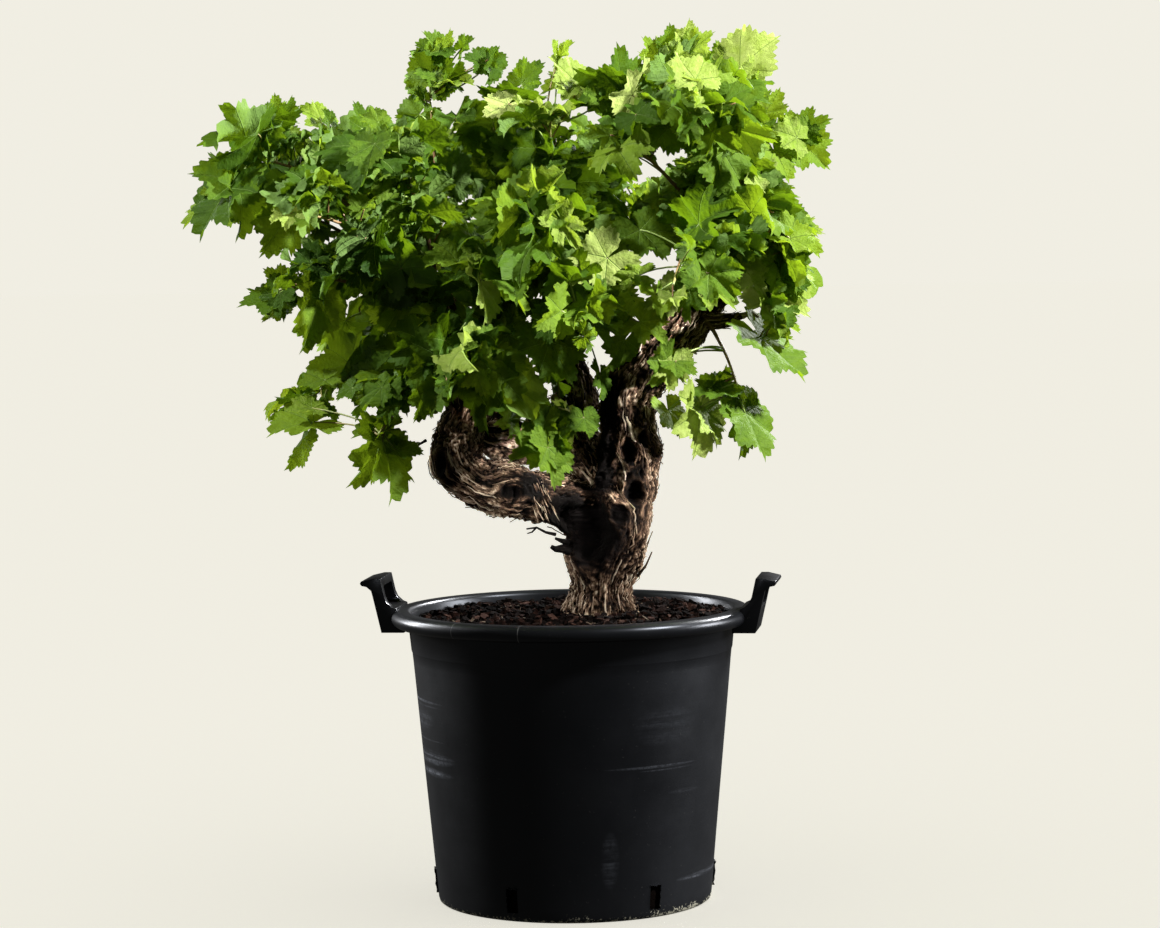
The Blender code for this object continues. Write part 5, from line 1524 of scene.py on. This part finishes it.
def curved(start, pull, end, count):
    """A quadratic arc from start to end, bent towards pull."""
    path = []
    for index in range(count):
        t = index / (count - 1)
        path.append(start * (1 - t) ** 2 + pull * 2 * t * (1 - t) + end * t ** 2)
    return path


def cane_start(route, share, tip):
    here = spline_point(route, share)
    ahead = (here.xyz - spline_point(route, share - 0.05).xyz).normalized()
    side = Vector(tip) - here.xyz
    side = (side - side.dot(ahead) * ahead).normalized()
    return here.xyz + side * here.w * 0.62


def cane_points(start, tip, bow):
    """A cane rises, then arches over to its tip."""
    start, tip = Vector(start), Vector(tip)
    middle = start.lerp(tip, 0.5) + Vector((0.0, 0.0, bow))
    knee = start.lerp(middle, 0.5) + Vector((0.0, 0.0, bow * 0.45))
    return [
        (start, CANE_RADIUS),
        (knee, CANE_RADIUS * 0.95),
        (middle, CANE_RADIUS * 0.8),
        (middle.lerp(tip, 0.5) + Vector((0.0, 0.0, bow * 0.25)), CANE_RADIUS * 0.65),
        (tip, CANE_TIP_RADIUS),
    ]


def camera_turn():
    return Matrix.Rotation(math.pi / 2 - CAMERA_PITCH, 3, "X") @ Matrix.Rotation(CAMERA_ROLL, 3, "Z")


def at_pixel(across, down, depth):
    """The point of the plane y = depth that the camera sees at a pixel."""
    aim = Vector(((across - IMAGE_WIDTH / 2) / FOCAL_PIXELS, (IMAGE_HEIGHT / 2 - down) / FOCAL_PIXELS, -1.0))
    aim = camera_turn() @ aim
    return CAMERA_PLACE + aim * ((depth - CAMERA_PLACE.y) / aim.y)


def to_pixel(point):
    local = camera_turn().transposed() @ (point - CAMERA_PLACE)
    across = IMAGE_WIDTH / 2 - FOCAL_PIXELS * local.x / local.z
    return across, IMAGE_HEIGHT / 2 + FOCAL_PIXELS * local.y / local.z


def inside_canopy(point):
    """Whether the camera sees a point inside the canopy's edge."""
    x, y = to_pixel(point)
    inside = False
    for (x0, y0), (x1, y1) in zip(CANOPY_EDGE, CANOPY_EDGE[1:] + CANOPY_EDGE[:1]):
        if (y0 > y) != (y1 > y) and x < x0 + (x1 - x0) * (y - y0) / (y1 - y0):
            inside = not inside
    return inside and not any(((x - gx) / wide) ** 2 + ((y - gy) / high) ** 2 < 1.0 for gx, gy, wide, high in GAPS)


def in_box(point):
    return all(low < value < high for low, value, high in zip(cad_box[0], point, cad_box[1]))


def leaf_pose(here, ahead, turn, last, rng, size):
    """Foot, axis, normal and length of one leaf, turned to the light."""
    up = Vector((0.0, 0.0, 1.0))
    side = Matrix.Rotation(turn, 3, ahead) @ ahead.orthogonal().normalized()
    outward = (here - CANOPY_CENTRE).normalized()
    away = here - CANOPY_CENTRE
    facing = Vector((away.x, 3.0 * here.y + rng.normal(0.0, 0.25), 0.6 * away.z)).normalized()
    stalk = (side * 0.9 + ahead * 0.4 + up * 0.45 + outward * 0.25).normalized()
    if last:
        stalk = (ahead + side * 0.15).normalized()
    reach = PETIOLE_LENGTH * (0.55 if last else rng.uniform(0.5, 1.25)) * size
    base = here + stalk * reach
    jitter = Vector(rng.normal(0.0, 0.30, 3))
    axis = stalk * 0.40 + outward * 0.30 - up * 0.65 + side * 0.15 + jitter
    if last:
        axis = ahead * 0.75 + side * 0.25 - up * 0.30 + jitter * 0.5
    axis.normalize()
    lean = Vector(rng.normal(0.0, 0.42, 3))
    normal = (up * 0.60 + facing * 0.85 - side * 0.20 + lean).normalized()
    length = LEAF_LENGTH * size * (0.50 + 0.80 * rng.random() ** 0.8) * (0.80 if last else 1.0)
    return base, axis, normal, length


def add_leaf(foliage, here, ahead, station, turn, last, rng):
    """One leaf on its petiole, kept within the canopy's edge and the object's box."""
    for attempt in range(LEAF_TRIES):
        size = 1.0 - 0.07 * attempt
        base, axis, normal, length = leaf_pose(here, ahead, turn + attempt * 1.1, last, rng, size)
        across = axis.cross(normal).normalized() * LEAF_WIDTH
        spots = [base]
        for degrees in LEAF_LOBES:
            lobe = math.cos(math.radians(degrees)) * axis + math.sin(math.radians(degrees)) * across
            spots += [base + lobe * 0.90 * length, base + lobe * 0.5 * length]
        if all(inside_canopy(spot) and in_box(spot) for spot in spots):
            break
    else:
        return 0
    # painted light: a paler tint for leaves on the right and near the top, where the lamps fall; leaves towards a
    # shoot's tip are paler too
    light = 0.14 * (here.x > 0.1) + 0.16 * (last or station > 0.88) + 0.08 * (here.z > 0.95)
    tint_and_painted_light = min(0.80, rng.beta(1.7, 3.2) * 0.90 + light)
    stalk = base - here
    path = curved(here, here + stalk * 0.6 + Vector((0.0, 0.0, 0.12 * stalk.length)), base, 5)
    foliage.tube(path, [PETIOLE_RADIUS * (1.25 - 0.35 * i / 4) for i in range(5)], 5, [rng.uniform(0.42, 0.95)] * 5)
    foliage.leaf(base, axis, normal, length, tint_and_painted_light, rng)
    return 1


def add_placed(foliage, route, row, rng):
    """One of the listed leaves, on a petiole from its shoot's cane."""
    foot_x, foot_y, tip_x, tip_y, depth, turn, kind, tint_and_painted_light = row
    base = at_pixel(foot_x, foot_y, depth)
    tip = at_pixel(tip_x, tip_y, depth - 0.012)
    axis = (tip - base).normalized()
    facing = (CAMERA_PLACE - base).normalized()
    facing = (facing - facing.dot(axis) * axis).normalized()
    turned = [Matrix.Rotation(math.radians(turn) * sign, 3, axis) @ facing for sign in (-1, 1)]
    turned.sort(key=lambda way: way.dot(KEY_WAY))
    normal = turned[1] if tint_and_painted_light >= 0.30 else turned[0]
    here = min((spline_point(route, share / 30).xyz for share in range(8, 31)), key=lambda p: (p - base).length)
    stalk = base - here
    path = curved(here, here + stalk * 0.5 - axis * 0.25 * stalk.length, base, 8)
    foliage.tube(path, [PETIOLE_RADIUS * (1.35 - 0.4 * i / 7) for i in range(8)], 5, [rng.uniform(0.42, 0.95)] * 8)
    foliage.leaf(base, axis, normal, (tip - base).length, tint_and_painted_light, rng, kind, 0.36)


def make_foliage(materials):
    routes = [cane_points(cane_start(ROUTES[arm], share, tip), tip, bow) for _, arm, share, tip, bow in SHOOTS]
    given = {number: [] for number in range(len(SHOOTS))}
    for row in PLACED:
        base = at_pixel(row[0], row[1], row[4])
        reach = []
        for route in routes:
            reach.append(min((spline_point(route, share / 12).xyz - base).length for share in range(4, 13)))
        given[reach.index(min(reach))].append(row)
    total = 0
    for number, route in enumerate(routes):
        total += make_shoot(number, SHOOTS[number][0], route, given[number], materials)
    print("leaves", total)


def make_shoot(number, name, route, placed, materials):
    rng = np.random.default_rng(1000 + number)
    foliage = Foliage()
    count = 22
    samples = [spline_point(route, index / (count - 1)) for index in range(count)]
    path = [sample.xyz for sample in samples]
    length = sum((b - a).length for a, b in zip(path, path[1:]))
    foliage.tube(path, [s.w * 0.9 for s in samples], 7, [0.05 + 0.75 * (i / count) ** 2 for i in range(count)])
    leaves = int(length * 0.86 / LEAF_SPACING)
    turn = rng.uniform(0.0, math.tau)
    made = len(placed)
    for index in range(leaves + 1):
        station = 0.16 + 0.84 * index / leaves
        here = spline_point(route, station).xyz
        ahead = (here - spline_point(route, station - 0.06).xyz).normalized()
        turn += math.radians(137.5) + rng.normal(0.0, 0.3)
        made += add_leaf(foliage, here, ahead, station, turn, index == leaves, rng)
    for row in placed:
        add_placed(foliage, route, row, rng)
    piece = foliage.finish(name + "_leaves", materials)
    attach(piece, "root")
    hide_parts(name)
    return made


# Stage, lights and camera
def make_stage():
    """A pale floor, wide enough to meet the pale surroundings at the horizon."""
    sides, radius = 96, 60.0
    points = [(0.0, 0.0, 0.0)]
    for step in range(sides):
        angle = step * math.tau / sides
        points.append((radius * math.cos(angle), radius * math.sin(angle), 0.0))
    faces = [(0, 1 + step, 1 + (step + 1) % sides) for step in range(sides)]
    floor = mesh_object("backdrop", points, faces, [backdrop_material()])
    floor.visible_glossy = False
    floor.visible_diffuse = False
    return floor


def light_only(lamp, receivers):
    """Limits a light to some of the objects."""
    group = bpy.data.collections.new(lamp.name + "_on")
    for one in receivers:
        group.objects.link(one)
    lamp.light_linking.receiver_collection = group


def add_area(name, place, target, size, power, spread):
    lamp = bpy.data.lights.new(name, "AREA")
    lamp.shape = "DISK"
    lamp.size = size
    lamp.energy = power
    lamp.spread = math.radians(spread)
    made = bpy.data.objects.new(name, lamp)
    made.location = place
    made.rotation_euler = (Vector(target) - Vector(place)).to_track_quat("-Z", "Y").to_euler()
    bpy.context.scene.collection.objects.link(made)
    return made


def make_world():
    """Pale surroundings that light the object only weakly."""
    world = bpy.data.worlds.new("studio")
    world.use_nodes = True
    nodes, links = world.node_tree.nodes, world.node_tree.links
    back = nodes["Background"]
    back.inputs[0].default_value = (*BACKDROP, 1.0)
    back.inputs[1].default_value = 1.0
    dim = node(nodes, "ShaderNodeBackground")
    dim.inputs[0].default_value = (*BACKDROP, 1.0)
    dim.inputs[1].default_value = SURROUND_LIGHT
    ray = node(nodes, "ShaderNodeLightPath").outputs["Is Camera Ray"]
    mix = node(nodes, "ShaderNodeMixShader")
    links.new(ray, mix.inputs[0])
    links.new(dim.outputs[0], mix.inputs[1])
    links.new(back.outputs[0], mix.inputs[2])
    links.new(mix.outputs[0], nodes["World Output"].inputs[0])
    bpy.context.scene.world = world


def make_lights(floor):
    make_world()
    pieces = [one for one in bpy.context.scene.objects if one.type == "MESH" and one != floor]
    sky = bpy.data.lights.new("floor_light", "SUN")
    sky.angle = math.radians(120)
    sky.energy = math.pi * SOFT_SUN * ((1.0 - FLOOR_GLOW) / FLOOR_TONE - SURROUND_LIGHT)
    above = bpy.data.objects.new("floor_light", sky)
    bpy.context.scene.collection.objects.link(above)
    light_only(above, [floor])
    for name, place, target, size, power, spread, kinds in LIGHTS:
        lit = [one for one in pieces if set(kinds.split()) & set(one.name.split("_"))]
        light_only(add_area(name, place, target, size, power, spread), lit)


def make_camera():
    lens = bpy.data.cameras.new("camera")
    lens.sensor_width = SENSOR
    lens.lens = FOCAL_PIXELS * SENSOR / IMAGE_WIDTH
    made = bpy.data.objects.new("camera", lens)
    made.matrix_world = Matrix.Translation(CAMERA_PLACE) @ camera_turn().to_4x4()
    bpy.context.scene.collection.objects.link(made)
    bpy.context.scene.camera = made
    bpy.context.scene.view_settings.view_transform = "Standard"


def main():
    make_camera()
    bark = bark_material()
    make_wood(bark)
    make_pot(plastic_material("pot_plastic", (0.0022, 0.0025, 0.0034), 0.40, 0.10, True))
    ear = plastic_material("handle_plastic", (0.003, 0.003, 0.0035), 0.28, 0.06)
    make_handle("handle_right_ear", RIGHT_HANDLE_TURN, ear)
    make_handle("handle_left_ear", LEFT_HANDLE_TURN, ear)
    make_soil(soil_material())
    materials = [leaf_material(), stalk_material()]
    make_foliage(materials)
    make_lights(make_stage())


main()
